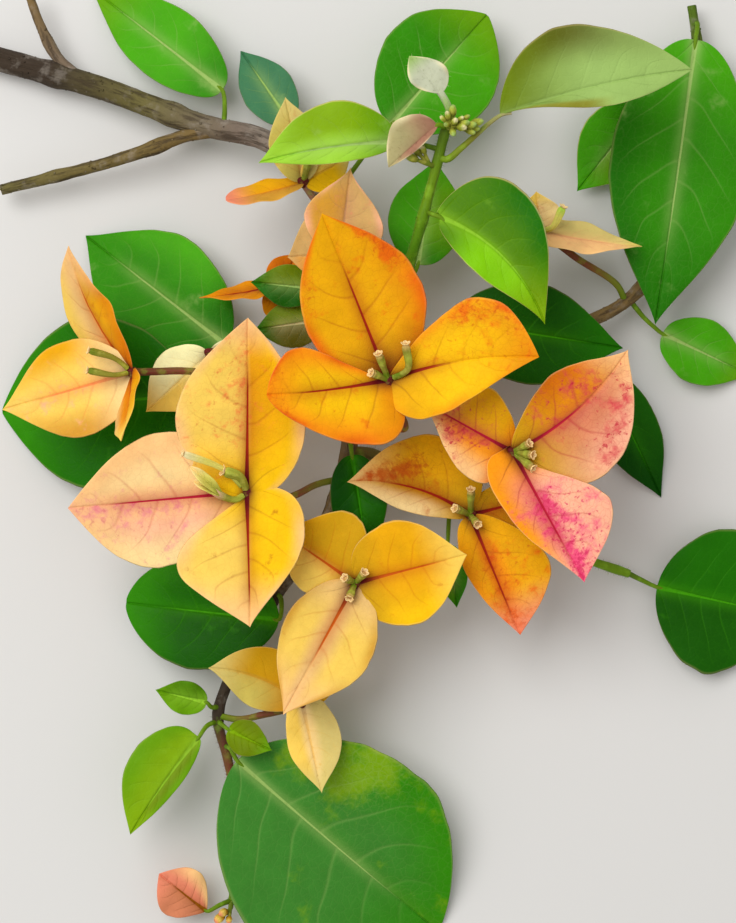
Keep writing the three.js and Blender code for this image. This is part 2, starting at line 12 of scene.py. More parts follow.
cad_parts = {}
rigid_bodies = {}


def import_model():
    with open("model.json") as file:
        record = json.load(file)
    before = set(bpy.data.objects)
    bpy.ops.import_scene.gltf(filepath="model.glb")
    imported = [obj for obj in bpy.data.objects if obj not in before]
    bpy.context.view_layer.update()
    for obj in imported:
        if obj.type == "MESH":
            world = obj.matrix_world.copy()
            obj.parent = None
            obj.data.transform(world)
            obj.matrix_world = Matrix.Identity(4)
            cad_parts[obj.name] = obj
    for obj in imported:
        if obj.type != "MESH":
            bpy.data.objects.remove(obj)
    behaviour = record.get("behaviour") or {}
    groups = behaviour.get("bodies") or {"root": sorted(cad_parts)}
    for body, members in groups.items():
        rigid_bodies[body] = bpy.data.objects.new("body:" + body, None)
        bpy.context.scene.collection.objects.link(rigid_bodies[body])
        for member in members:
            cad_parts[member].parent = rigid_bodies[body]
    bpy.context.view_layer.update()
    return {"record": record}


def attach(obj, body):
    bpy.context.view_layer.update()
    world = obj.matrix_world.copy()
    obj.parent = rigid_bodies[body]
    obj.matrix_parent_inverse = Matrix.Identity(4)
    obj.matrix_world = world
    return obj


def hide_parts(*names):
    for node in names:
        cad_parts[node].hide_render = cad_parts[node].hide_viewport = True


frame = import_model()
print("frame loaded")

mm = 0.001
fullTurn = 2 * math.pi
scene = bpy.context.scene

# The branch is laid out as an eye straight above sees it, in the plane of its top blooms
layout = {
    "eyeHeight": 500,
    "bloomPlane": 25,
    "cutEnd": (-74, 74.5, 2.34),
    "photoHeight": 923,
    "photoPixel": 0.18,
}


def spread(height):
    return (layout["eyeHeight"] - height) / (layout["eyeHeight"] - layout["bloomPlane"])


cutX, cutY, cutZ = layout["cutEnd"]
cutPlace = Vector(frame["record"]["mounts"][0]["pos_m"]) / mm
shift = Vector((cutPlace.x - cutX * spread(cutZ), cutPlace.y - cutY * spread(cutZ), 0))


def seen(place):
    x, y, z = place
    return Vector((x * spread(z), y * spread(z), z)) + shift


# Wiring of nodes: a wire is a socket that can stand in a formula

def formula(operation, turned=False):
    return lambda wire, other: wire.net.math(operation, *((other, wire) if turned else (wire, other)))


class Wire:
    __add__ = formula("ADD")
    __radd__ = formula("ADD", True)
    __sub__ = formula("SUBTRACT")
    __rsub__ = formula("SUBTRACT", True)
    __mul__ = formula("MULTIPLY")
    __rmul__ = formula("MULTIPLY", True)
    __truediv__ = formula("DIVIDE")
    __pow__ = formula("POWER")

    def __init__(self, net, socket):
        self.net = net
        self.socket = socket
        self.isVector = socket.type in ("VECTOR", "RGBA")


class Net:
    def __init__(self, tree):
        self.tree = tree

    def feed(self, socket, term):
        if isinstance(term, Wire):
            self.tree.links.new(term.socket, socket)
        else:
            socket.default_value = term

    def place(self, kind, inputs=None, **settings):
        node = self.tree.nodes.new(kind)
        for name, value in settings.items():
            setattr(node, name, value)
        for name, term in (inputs or {}).items():
            self.feed(node.inputs[name], term)
        return node

    def node(self, kind, inputs=None, out=0, **settings):
        return Wire(self, self.place(kind, inputs, **settings).outputs[out])

    def math(self, operation, *terms):
        vectors = [term for term in terms if isinstance(term, Wire) and term.isVector]
        if operation == "MULTIPLY" and len(vectors) == 1:
            number = terms[1] if terms[0] is vectors[0] else terms[0]
            return self.node("ShaderNodeVectorMath", {0: vectors[0], "Scale": number}, operation="SCALE")
        kind = "ShaderNodeVectorMath" if vectors else "ShaderNodeMath"
        return self.node(kind, dict(enumerate(terms)), operation=operation)

    def vector(self, x, y, z):
        return self.node("ShaderNodeCombineXYZ", {"X": x, "Y": y, "Z": z})

    def split(self, wire):
        return [Wire(self, output) for output in self.place("ShaderNodeSeparateXYZ", {0: wire}).outputs]

    def ramp(self, wire, low, high):
        ends = {"Value": wire, "From Min": low, "From Max": high}
        return self.node("ShaderNodeMapRange", ends, interpolation_type="SMOOTHSTEP")

    def bell(self, wire, width):
        ratio = wire / width
        return self.math("EXPONENT", ratio * ratio * -1)

    def blend(self, share, first, second):
        return self.node("ShaderNodeMix", {0: share, 6: first, 7: second}, 2, data_type="RGBA")

    def between(self, share, first, second):
        return self.node("ShaderNodeMix", {0: share, 2: first, 3: second})

    def noise(self, place, scale, detail=2.0, roughness=0.5):
        inputs = {"Vector": place, "Scale": scale, "Detail": detail, "Roughness": roughness}
        return self.node("ShaderNodeTexNoise", inputs)

    def cells(self, place, scale):
        inputs = {"Vector": place, "Scale": scale}
        return self.node("ShaderNodeTexVoronoi", inputs, voronoi_dimensions="2D", feature="DISTANCE_TO_EDGE")

    def stored(self, name, out="Vector"):
        if self.tree.type == "GEOMETRY":
            return self.node("GeometryNodeInputNamedAttribute", {"Name": name})
        return self.node("ShaderNodeAttribute", out=out, attribute_name=name)

    def store(self, geometry, name, value):
        kind = "FLOAT_VECTOR" if value.isVector else "FLOAT"
        inputs = {"Geometry": geometry, "Name": name, "Value": value}
        return self.node("GeometryNodeStoreNamedAttribute", inputs, data_type=kind, domain="POINT")

    def give(self, **results):
        self.place("NodeGroupOutput", results)
        return self.tree

    def close(self, geometry, material):
        # Every shape tree ends this way
        smooth = self.node("GeometryNodeSetShadeSmooth", {"Geometry": geometry})
        real = self.node("GeometryNodeRealizeInstances", {"Geometry": smooth})
        clad = self.node("GeometryNodeSetMaterial", {"Geometry": real, "Material": material})
        return self.give(Geometry=clad)


def socketKind(name, value):
    if value is None:  # such a socket is named for its kind
        return name.capitalize()
    if isinstance(value, tuple):
        return "Color" if len(value) == 4 else "Vector"
    return type(value).__name__.capitalize()


def newTree(name, inputs, kind="GeometryNodeTree", outputs=None):
    net = Net(bpy.data.node_groups.new(name, kind))
    addSocket = net.tree.interface.new_socket
    for label, value in inputs.items():
        item = addSocket(name=label, in_out="INPUT", socket_type="NodeSocket" + socketKind(label, value))
        if value is not None:
            item.default_value = value
    for label, result in (outputs or {"Geometry": "Geometry"}).items():
        addSocket(name=label, in_out="OUTPUT", socket_type="NodeSocket" + result)
    ends = net.place("NodeGroupInput").outputs
    return net, SimpleNamespace(**{label: Wire(net, ends[label]) for label in inputs})


# The veins of a blade: used for its relief and for its colours
# across -1..1 and along 0..1 are shares of the blade, ribDistance is in metres from its midrib

def veinLines(net, across, along, ribDistance, pairs, slant, ribWidth, seed, sideWidth):
    outward = net.math("ABSOLUTE", across)
    rib = net.bell(ribDistance, ribWidth * (0.28 + 1.1 * net.math("EXPONENT", along * -4.5)))
    side = net.math("GREATER_THAN", across, 0.0)
    lean = slant * outward ** 1.35
    wander = (net.noise(net.vector(across * 0.9, along * 2.2, seed), 1.5, 1.0) - 0.5) * 0.55
    phase = (along - lean) * pairs + 0.5 * side + wander
    apart = net.math("ABSOLUTE", net.math("FRACT", phase) - 0.5)
    fade = 1.0 - net.ramp(outward, 0.45, 0.98)
    sides = net.bell(apart, sideWidth * (1.25 - outward * 0.75)) * fade * (1.0 - net.ramp(along, 0.8, 0.97))
    return rib, sides


# Blade tree: one bract or leaf as a closed thin shell, bent, folded and veined

def makeBladeTree():
    net, given = newTree("bladeShape", {
        "length": 0.03, "width": 0.02, "thickness": 0.0003, "skew": 0.0, "bow": 0.0, "arch": 0.0,
        "fold": 0.14, "cup": 0.0, "widest": 0.42, "shiftWidest": 0.0, "point": 0.6,
        "baseLeft": 0.55, "baseRight": 0.55, "lobeLeft": 0.0, "lobeRight": 0.0,
        "crinkle": 0.0001, "crinkleScale": 260.0, "ripple": 0.0003, "ripples": 2.5, "wobble": 0.05,
        "pairs": 5.0, "slant": 0.25, "veinDepth": 0.0001, "ribWidth": 0.0006, "seed": 0.0,
        "acrossSteps": 40, "alongSteps": 50, "base": (0, 0, 0), "turn": (0, 0, 0), "material": None,
    })
    grid = net.node("GeometryNodeMeshGrid", {
        "Size X": 2.0, "Size Y": 1.0, "Vertices X": given.acrossSteps, "Vertices Y": given.alongSteps,
    })
    x, y, _ = net.split(net.node("GeometryNodeInputPosition"))
    raw = y + 0.5
    # Steps are closer at the midrib, the rims and both ends
    across = x - 0.08 * net.math("SINE", x * fullTurn)
    along = 0.25 * raw + 0.75 * (0.5 - 0.5 * net.math("COSINE", raw * math.pi))
    outward = net.math("ABSOLUTE", across)
    right = net.math("SIGN", across)
    power = net.math("LOGARITHM", 0.5, given.widest + right * given.shiftWidest)
    bulge = net.math("MAXIMUM", net.math("SINE", math.pi * along ** power), 0.0)
    isRight = net.math("GREATER_THAN", across, 0.0)
    roundness = net.between(isRight, given.baseLeft, given.baseRight)
    profile = bulge ** (roundness * (1.0 - along) + (0.55 + given.point) * along)
    unevenPlace = net.vector(along * 3.0, right * 2.0, given.seed)
    uneven = 1.0 + given.wobble * (net.noise(unevenPlace, 1.5) - 0.5) * 2.0
    half = given.width * 0.5 * profile * (1.0 + given.skew * right) * uneven
    reach = half * outward
    plan = (given.pairs, given.slant, given.ribWidth)
    rib, sides = veinLines(net, across, along, reach, *plan, given.seed, 0.1)
    rippleTurn = along * given.ripples * fullTurn + given.seed * 7.0 + right * 1.3
    ripple = given.ripple * net.math("SINE", rippleTurn) * outward * outward * bulge
    sunk = given.veinDepth * (rib + 0.55 * sides)
    flat = net.vector(half * across, along * given.length, given.seed * 0.01)
    crinkle = (net.noise(flat, given.crinkleScale, 2.0) - 0.5) * 2.0 * given.crinkle
    rise = reach * net.math("SINE", given.fold) + given.cup * reach * outward
    rise = rise + ripple - sunk + crinkle * bulge
    # The surface stands on a line that arches towards the face and bows to the right
    hump = 4.0 * along * (1.0 - along) * given.length
    slope = 4.0 * (1.0 - 2.0 * along)
    tangent = net.math("NORMALIZE", net.vector(given.bow * slope, 1.0, given.arch * slope))
    _, _, climb = net.split(tangent)
    normal = net.math("NORMALIZE", net.vector(0.0, 0.0, 1.0) - tangent * climb)
    side = net.math("CROSS_PRODUCT", tangent, normal)
    lobe = net.between(isRight, given.lobeLeft, given.lobeRight)
    back = lobe * given.length * outward ** 1.6 * (1.0 - along) ** 5.0
    line = net.vector(given.bow * hump, along * given.length - back, given.arch * hump)
    middle = line + side * (half * across * net.math("COSINE", given.fold)) + normal * rise
    rimShare = (1.0 - outward ** 10.0) * (1.0 - net.math("ABSOLUTE", 2.0 * along - 1.0) ** 30.0)
    depth = given.thickness * 0.5 * net.math("SQRT", net.math("MAXIMUM", rimShare, 0.0))
    marked = net.store(grid, "bladePlace", net.vector(across, along, given.seed))
    marked = net.store(marked, "flatPlace", net.vector(half * across, along * given.length, given.seed))
    marked = net.store(marked, "veinPlan", net.vector(*plan))
    top = net.node("GeometryNodeSetPosition", {"Geometry": marked, "Position": middle + normal * depth})
    under = net.node("GeometryNodeSetPosition", {"Geometry": marked, "Position": middle - normal * depth})
    joined = net.place("GeometryNodeJoinGeometry", {0: net.node("GeometryNodeFlipFaces", {"Mesh": under})})
    net.feed(joined.inputs[0], top)
    shell = {"Geometry": Wire(net, joined.outputs[0]), "Distance": 2e-6}
    place = {
        "Geometry": net.node("GeometryNodeMergeByDistance", shell),
        "Translation": given.base,
        "Rotation": net.node("FunctionNodeEulerToRotation", {"Euler": given.turn}),
    }
    return net.close(net.node("GeometryNodeTransform", place), given.material)


# Limb tree: a line of points with a girth each becomes a closed stem with lumps, grain and ribs

def makeLimbTree():
    net, given = newTree("limbShape", {
        "geometry": None, "sides": 16, "lumpDepth": 0.0, "lumpScale": 300.0, "grainDepth": 0.0,
        "grainScale": 1500.0, "grainStretch": 0.2, "ribs": 5.0, "ribDepth": 0.0, "seed": 0.0,
        "material": None,
    })
    line = net.node("GeometryNodeMeshToCurve", {"Mesh": given.geometry})
    line = net.store(line, "limbAlong", net.node("GeometryNodeSplineParameter", out="Length"))
    ring = net.node("GeometryNodeCurvePrimitiveCircle", {"Resolution": given.sides, "Radius": 1.0})
    ring = net.store(ring, "limbAround", net.node("GeometryNodeSplineParameter", out="Factor"))
    girth = net.stored("girth")
    tube = {"Curve": line, "Profile Curve": ring, "Scale": girth, "Fill Caps": True}
    skin = net.node("GeometryNodeCurveToMesh", tube)
    turn = net.stored("limbAround") * fullTurn
    along = net.stored("limbAlong")
    x = net.math("COSINE", turn) * girth
    y = net.math("SINE", turn) * girth
    unrolled = net.vector(x, y, along) + net.vector(0.0, 0.0, given.seed)
    stretched = net.vector(x, y, along * given.grainStretch + given.seed)
    lumps = (net.noise(unrolled, given.lumpScale, 1.0) - 0.5) * 2.0
    grain = (net.noise(stretched, given.grainScale, 3.0, 0.6) - 0.5) * 2.0
    ribs = girth * given.ribDepth * net.math("COSINE", turn * given.ribs)
    out = net.node("GeometryNodeInputNormal") * (lumps * given.lumpDepth + grain * given.grainDepth + ribs)
    skin = net.store(skin, "limbPlace", unrolled)
    skin = net.node("GeometryNodeSetPosition", {"Geometry": skin, "Offset": out})
    return net.close(skin, given.material)


# Scatter tree: small cones over a surface, such as hairs and the pores of bark

def makeScatterTree():
    net, given = newTree("scatterShape", {
        "geometry": None, "density": 1e6, "width": 0.0001, "height": 0.0001, "tip": 0.3, "corners": 5,
        "seed": 1, "material": None,
    })
    surface = {"Mesh": given.geometry, "Density": given.density, "Seed": given.seed}
    points = net.place("GeometryNodeDistributePointsOnFaces", surface).outputs
    cone = {"Vertices": given.corners, "Radius Top": given.tip, "Radius Bottom": 1.0, "Depth": 1.0}
    size = net.node("FunctionNodeRandomValue", {"Min": 0.6, "Max": 1.4, "Seed": given.seed}, "Value")
    width = given.width * size
    crowd = net.node("GeometryNodeInstanceOnPoints", {
        "Points": Wire(net, points["Points"]),
        "Instance": net.node("GeometryNodeMeshCone", cone),
        "Rotation": Wire(net, points["Rotation"]),
        "Scale": net.vector(width, width, given.height * size),
    })
    real = net.node("GeometryNodeRealizeInstances", {"Geometry": crowd})
    real = net.store(real, "limbPlace", net.node("GeometryNodeInputPosition"))
    return net.close(real, given.material)


bladeTree = makeBladeTree()
limbTree = makeLimbTree()
scatterTree = makeScatterTree()
print("shape trees built")


def grow(tree, values, base=None):
    # Runs a tree over a base mesh and returns its result as a plain mesh
    holder = bpy.data.objects.new("holder", base or bpy.data.meshes.new("holder"))
    scene.collection.objects.link(holder)
    modifier = holder.modifiers.new("grow", "NODES")
    modifier.node_group = tree
    for item in tree.interface.items_tree:
        if item.in_out == "INPUT" and item.name in values:
            value = values[item.name]
            modifier[item.identifier] = float(value) if item.socket_type == "NodeSocketFloat" else value
    graph = bpy.context.evaluated_depsgraph_get()
    grown = holder.evaluated_get(graph)
    mesh = bpy.data.meshes.new_from_object(grown, preserve_all_data_layers=True, depsgraph=graph)
    bpy.data.objects.remove(holder)
    return mesh


def newObject(name, data):
    thing = bpy.data.objects.new(name, data)
    scene.collection.objects.link(thing)
    return thing


def joinMeshes(name, meshes):
    parts = [newObject(name, mesh) for mesh in meshes]
    if len(parts) > 1:
        with bpy.context.temp_override(active_object=parts[0], selected_editable_objects=parts):
            bpy.ops.object.join()
    piece = parts[0]
    piece.name = name
    piece.data.name = name
    return piece


def finishPiece(piece, node=None):
    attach(piece, "root")
    if node:
        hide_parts(node)


def camelName(node):
    first, *rest = node.split("_")
    return first + "".join(word.capitalize() for word in rest)


# Plain colours that the blooms, leaves and stems are dealt, as red, green and blue on screen

paints = dict(
    cream="fbdc98", ivory="fffabc", butter="f8d05c", lemon="fac40c", gold="eaa90a", amber="e59008",
    # The rust brown also paints a shadow at the base of the orange bloom's top bract
    tangerine="fa9a10", orange="d9740a", burnt="c4560e", vermilion="e8600e", rust="96550a", sand="e8bd76",
    wheat="d4aa66", honey="d69c34", apricot="fdc784", peach="fbb592", blush="f08c94", salmon="ee8a6c",
    coral="f5683e", magenta="f2407e", crimson="b41c34", cherry="d83c4c", brick="9c2410", maroon="5c0c14",
    mustard="cf9d12", ochre="c6870c", straw="d9c474", khaki="c8b656", lime="9cd038", spring="80a80c",
    grass="669c0a", fern="4c7e04", fresh="7ec40a", meadow="46a00c", leaf="328608", jade="3e822c",
    # The darkest greens here, for leaves lying in shade under the blooms, are partly the leaves' own colour
    # and partly painted shade
    pine="206c04", forest="1a5806", deep="0e4604", moss="667c06", brownGreen="54500e", sage="9cbc66",
    blueGreen="407852", silver="c8ccb0", tan="b8ae7a", terracotta="da8660", rosewood="a87a62",
    tubeGreen="a8b23c", tubeOlive="8c8a2c", tubeYellow="e6dc6a", tubeCream="f3e6b4", tubePink="e0b48e",
    bark="76675a", barkPale="a89e92", olive="6a6234", barkDark="3e3226", twig="7a6238", woodPale="dcc79c",
    woodRing="b89a68", woodPith="8c6e48", shoot="6c9010", shootDark="506c10", shootRed="8a4a34",
)


def light(name):
    # A paint's screen colour as light values
    screen = np.array([int(paints[name][i:i + 2], 16) / 255 for i in (0, 2, 4)])
    return np.where(screen <= 0.04045, screen / 12.92, ((screen + 0.055) / 1.055) ** 2.4)


def lightFull(name):
    return (*light(name).tolist(), 1.0)


def smooth(values, low, high):
    share = np.clip((values - low) / (high - low), 0, 1)
    return share * share * (3 - 2 * share)


def mixed(first, second, share):
    share = share[:, None]
    return first * (1 - share) + second * share


def readVectors(mesh, name):
    data = np.empty(len(mesh.vertices) * 3)
    mesh.attributes[name].data.foreach_get("vector", data)
    return data.reshape(-1, 3)


def writeColours(mesh, name, colours):
    layer = mesh.attributes.new(name, "FLOAT_COLOR", "POINT")
    full = np.ones((len(mesh.vertices), 4))
    full[:, :3] = colours
    layer.data.foreach_set("color", full.ravel())


def writeValues(mesh, name, values):
    layer = mesh.attributes.new(name, "FLOAT", "POINT")
    layer.data.foreach_set("value", np.ascontiguousarray(values, dtype=np.float32))


def paintBlade(mesh, blade):
    # Deals a blade its tones. The heel is where the right rim turns up beside the base
    across, along, _ = readVectors(mesh, "bladePlace").T
    outward = np.abs(across)
    tones = {"vein": blade["vein"], **dict(pair.split() for pair in blade["tones"].split(", "))}
    left, vein = tones["left"], tones["vein"]
    colour = mixed(light(left), light(tones.get("right", left)), smooth(across, -0.1, 0.1))
    shares = {
        "farLeft": smooth(-across, 0.25, 0.9),
        "farRight": smooth(across, 0.25, 0.9),
        "centre": 1 - smooth(outward, 0.05, 0.45),
        "tip": smooth(along, blade["tipFrom"], 1.0),
        "base": 1 - smooth(along, 0.02, blade["baseTo"]),
        "rim": smooth(outward, 0.7, 1.0) * (0.55 + 0.35 * np.sin(along * 13 + across * 3)),
        "heel": smooth(across, 0.45, 0.75) * (1 - smooth(along, 0.42, 0.62)),
    }
    for place, share in shares.items():
        if place in tones:
            colour = mixed(colour, light(tones[place]), share)
    writeColours(mesh, "tint", colour)
    veinBase = light(blade.get("veinBase", vein))
    writeColours(mesh, "veinTint", mixed(light(vein), veinBase, 1 - smooth(along, 0.04, 0.3)))
    writeColours(mesh, "blotchTint", light(tones.get("blotch", vein)))
    nearRib = np.exp(-((outward / 0.5) ** 2))
    leftBlotch, rightBlotch = blade["blotches"]
    amount = np.where(across < 0, leftBlotch, rightBlotch) * (0.45 + 0.55 * nearRib)
    amount = amount * smooth(along, 0.12, 0.4) + blade["tipBlotch"] * smooth(along, 0.72, 0.98)
    for patchAcross, patchAlong, strength in blade["patches"]:
        apart = ((across - patchAcross) / 0.32) ** 2 + ((along - patchAlong) / 0.13) ** 2
        amount = amount + strength * np.exp(-apart)
    writeValues(mesh, "blotchShare", np.clip(amount, 0, 1))
    ribEnd = blade["ribTo"]
    ribFade = 0.3
    writeValues(mesh, "ribShare", blade["rib"] * (1 - smooth(along, ribEnd - ribFade, ribEnd)))


# Smooth line through points: centripetal, as the solids' limbs follow

class Path:
    def __init__(self, points, perStep=24):
        points = [np.array(point, dtype=float) for point in points]
        ends = [2 * points[0] - points[1], *points, 2 * points[-1] - points[-2]]
        line = [points[0]]
        for i in range(1, len(ends) - 2):
            before, start, stop, after = ends[i - 1:i + 3]
            pairs = ((before, start), (start, stop), (stop, after))
            first, middle, last = [math.sqrt(np.linalg.norm(b - a)) for a, b in pairs]
            first, last = first or middle, last or middle
            step = stop - start
            leave = (start - before) / first - (stop - before) / (first + middle) + step / middle
            arrive = step / middle - (after - start) / (middle + last) + (after - stop) / last
            leave, arrive = leave * middle, arrive * middle
            for k in range(1, perStep + 1):
                t = k / perStep
                bend = (3 * step - 2 * leave - arrive) * t ** 2 + (leave + arrive - 2 * step) * t ** 3
                line.append(start + leave * t + bend)
        self.line = np.array(line)
        steps = np.linalg.norm(np.diff(self.line, axis=0), axis=1)
        self.lengths = np.concatenate(([0], np.cumsum(steps)))
        self.length = self.lengths[-1]

    def at(self, share):
        far = share * self.length
        return Vector([np.interp(far, self.lengths, self.line[:, axis]) for axis in range(3)])

    def ahead(self, share):
        small = 0.002
        return (self.at(min(1, share + small)) - self.at(max(0, share - small))).normalized()

    def nearest(self, place):
        return min(map(self.at, np.linspace(0, 1, 401)), key=lambda point: (point - place).length)


def limbMesh(path, values, girthAt, paintNames, start=0, stop=1, spacing=0.6):
    # Grows a limb along a path and deals it its colours from its start to its end
    count = max(4, round((stop - start) * path.length / spacing) + 1)
    shares = np.linspace(start, stop, count)
    places = [tuple(path.at(share) * mm) for share in shares]
    line = bpy.data.meshes.new("line")
    line.from_pydata(places, [(i, i + 1) for i in range(count - 1)], [])
    writeValues(line, "girth", np.array([girthAt(share) for share in shares]) * mm)
    mesh = grow(limbTree, values, line)
    along = np.empty(len(mesh.vertices))
    mesh.attributes["limbAlong"].data.foreach_get("value", along)
    stops = np.linspace(0, 1, len(paintNames))
    colours = np.array([light(name) for name in paintNames])
    dealt = [np.interp(along / along.max(), stops, colours[:, i]) for i in range(3)]
    writeColours(mesh, "tint", np.stack(dealt, axis=1))
    return mesh


# Shader groups: each gives a colour, a height and a roughness that change over the surface
skinResults = {"Color": "Color", "Height": "Float", "Roughness": "Float"}


def makeBladeSkin():
    net, given = newTree("bladeSkin", {
        "sideWidth": 0.06, "sideShare": 0.4, "webShare": 0.2, "webScale": 800.0, "mottle": 0.1,
        "mottleScale": 350.0, "rough": 0.5, "rimPale": 0.2, "grain": 0.1, "blotchScale": 300.0,
        "speckScale": 1100.0, "speckShare": 0.45, "webFlush": 0.15, "ribGlow": 0.3,
    }, "ShaderNodeTree", skinResults)
    across, along, seed = net.split(net.stored("bladePlace"))
    flatX, flatY, _ = net.split(net.stored("flatPlace"))
    pairs, slant, ribWidth = net.split(net.stored("veinPlan"))
    ribDistance = net.math("ABSOLUTE", flatX)
    rib, sides = veinLines(net, across, along, ribDistance, pairs, slant, ribWidth, seed, given.sideWidth)
    flat = net.vector(flatX, flatY, seed * 0.05)
    bent = flat + (net.noise(flat, 500.0, 2.0) - 0.5) * 0.0012
    web = 1.0 - net.ramp(net.cells(bent, given.webScale), 0.0, 0.13)
    fine = 1.0 - net.ramp(net.cells(bent, given.webScale * 2.7), 0.0, 0.16)
    webTotal = web * 0.6 + fine * 0.4
    # Mottling and blotches
    mottle = net.noise(flat, given.mottleScale, 3.0, 0.55)
    tint = net.stored("tint", "Color")
    colour = net.blend((mottle - 0.5) * 2.0 * given.mottle + 0.5, tint * 0.9, tint * 1.12)
    share = net.stored("blotchShare", "Fac")
    patch = net.ramp(net.noise(bent, given.blotchScale, 4.0, 0.62) + share * 0.36, 0.6, 0.88)
    nearRib = net.bell(ribDistance, 0.002) * share * 0.4
    blotchTint = net.stored("blotchTint", "Color")
    colour = net.blend(net.math("MINIMUM", patch * 0.85 + nearRib, 0.9), colour, blotchTint)
    veinTint = net.stored("veinTint", "Color")
    specks = net.ramp(net.noise(bent, given.speckScale, 3.0, 0.6) + share * 0.26, 0.68, 0.8)
    colour = net.blend(specks * given.speckShare, colour, net.blend(0.5, blotchTint, veinTint))
    # Veins, midrib and rim
    ribShare = net.stored("ribShare", "Fac")
    colour = net.blend(webTotal * (given.webShare + share * given.webFlush), colour, veinTint)
    colour = net.blend(sides * given.sideShare * (0.35 + 0.65 * ribShare), colour, veinTint)
    nearBase = 1.0 + 1.6 * net.math("EXPONENT", along * -10.0)
    glow = net.bell(ribDistance, ribWidth * 2.6) * given.ribGlow * nearBase
    colour = net.blend(net.math("MAXIMUM", net.ramp(rib, 0.25, 0.8), glow) * ribShare, colour, veinTint)
    edge = net.ramp(net.math("ABSOLUTE", across), 0.955, 0.99) * given.rimPale
    grain = net.noise(flat, 1900.0, 2.0) * given.grain
    return net.give(
        Color=net.blend(edge, colour, lightFull("cream")),
        Height=0.6 - rib * 0.4 - sides * 0.3 - webTotal * 0.2 + grain,
        Roughness=given.rough + webTotal * 0.05 + (mottle - 0.5) * 0.12,
    )


def makeLimbSkin():
    net, given = newTree("limbSkin", {
        "streakScale": 900.0, "streakStretch": 0.12, "streakShare": 0.5, "patchScale": 260.0,
        "patchShare": 0.4, "grainScale": 3000.0, "rough": 0.6, "streakColour": lightFull("barkDark"),
        "patchColour": lightFull("barkPale"),
    }, "ShaderNodeTree", skinResults)
    place = net.stored("limbPlace")
    x, y, z = net.split(place)
    lengthwise = net.vector(x, y, z * given.streakStretch)
    streak = net.ramp(net.noise(lengthwise, given.streakScale, 4.0, 0.65), 0.48, 0.66)
    patch = net.ramp(net.noise(place, given.patchScale, 4.0, 0.6), 0.5, 0.66)
    grain = net.noise(place, given.grainScale, 2.0)
    tint = net.stored("tint", "Color")
    tint = net.blend(grain, tint * 0.85, tint * 1.15)
    colour = net.blend(streak * given.streakShare, tint, given.streakColour)
    return net.give(
        Color=net.blend(patch * given.patchShare, colour, given.patchColour),
        Height=0.6 - streak * 0.6 + grain * 0.3 + patch * 0.1,
        Roughness=given.rough + streak * 0.12 + (grain - 0.5) * 0.1,
    )


bladeSkin = makeBladeSkin()
limbSkin = makeLimbSkin()
materials = {}


def makeMaterial(name, skin, look):
    # A look holds values for its skin, and the shader's own specular level and bump depth in metres
    material = bpy.data.materials.new(name)
    material.use_nodes = True
    material.node_tree.nodes.clear()
    net = Net(material.node_tree)
    group = net.place("ShaderNodeGroup", node_tree=skin)
    for socket in group.inputs:
        if socket.name in look:
            socket.default_value = look[socket.name]
    colour, height, roughness = [Wire(net, output) for output in group.outputs]
    bump = {"Height": height, "Distance": look["bump"], "Strength": 1.0}
    shader = net.node("ShaderNodeBsdfPrincipled", {
        "Base Color": colour,
        "Roughness": roughness,
        "Normal": net.node("ShaderNodeBump", bump),
        "Specular IOR Level": look["specular"],
    })
    net.place("ShaderNodeOutputMaterial", {"Surface": shader})
    materials[name] = material


# Each slot changes a few values of its kind's look
bractLook = {
    "sideShare": 0.26, "sideWidth": 0.04, "webShare": 0.07, "webScale": 850.0, "mottle": 0.8,
    "mottleScale": 330.0, "rough": 0.56, "rimPale": 0.3, "ribGlow": 0.42, "specular": 0.06, "bump": 0.00012,
}
bractSlots = {
    "bract_yellow": {"blotchScale": 420.0, "speckScale": 900.0},
    "bract_orange": {"sideShare": 0.3, "webFlush": 0.3, "rough": 0.5, "rimPale": 0.1},
    "bract_pink": {"sideShare": 0.4, "webShare": 0.1, "webFlush": 0.4, "speckShare": 0.8},
    "bract_olive": {"webShare": 0.12, "rimPale": 0.15},
    "bract_golden": {"sideShare": 0.24},
    "bract_amber": {"sideShare": 0.25, "rimPale": 0.15},
    "bract_peach": {"sideShare": 0.2},
    "bract_pale": {"sideShare": 0.2},
}
leafLook = {
    "sideShare": 0.18, "sideWidth": 0.035, "webShare": 0.045, "webScale": 620.0, "blotchScale": 130.0,
    "speckShare": 0.15, "mottle": 0.7, "mottleScale": 240.0, "rough": 0.44, "rimPale": 0.1,
    "specular": 0.05, "bump": 0.00016,
}
leafSlots = {
    "leaf_young": {"rimPale": 0.45, "mottle": 0.6, "sideShare": 0.1, "rough": 0.36},
    "leaf_lime": {"sideShare": 0.12},
    "leaf_olive": {"rimPale": 0.2, "sideShare": 0.12},
    "leaf_mature": {},
    # leaf_dark leaves lie under and behind the blooms; their dark greens are partly their own colour and
    # partly painted shade
    "leaf_dark": {"rough": 0.38},
    "leaf_bud": {"rough": 0.8, "sideShare": 0.06, "webShare": 0.02, "bump": 0.00005},
    "leaf_red": {"sideShare": 0.3, "rough": 0.5},
}
stemLook = {
    "streakScale": 1500.0, "streakShare": 0.3, "patchScale": 900.0, "patchShare": 0.2, "rough": 0.6,
    "specular": 0.15, "bump": 0.0001,
}
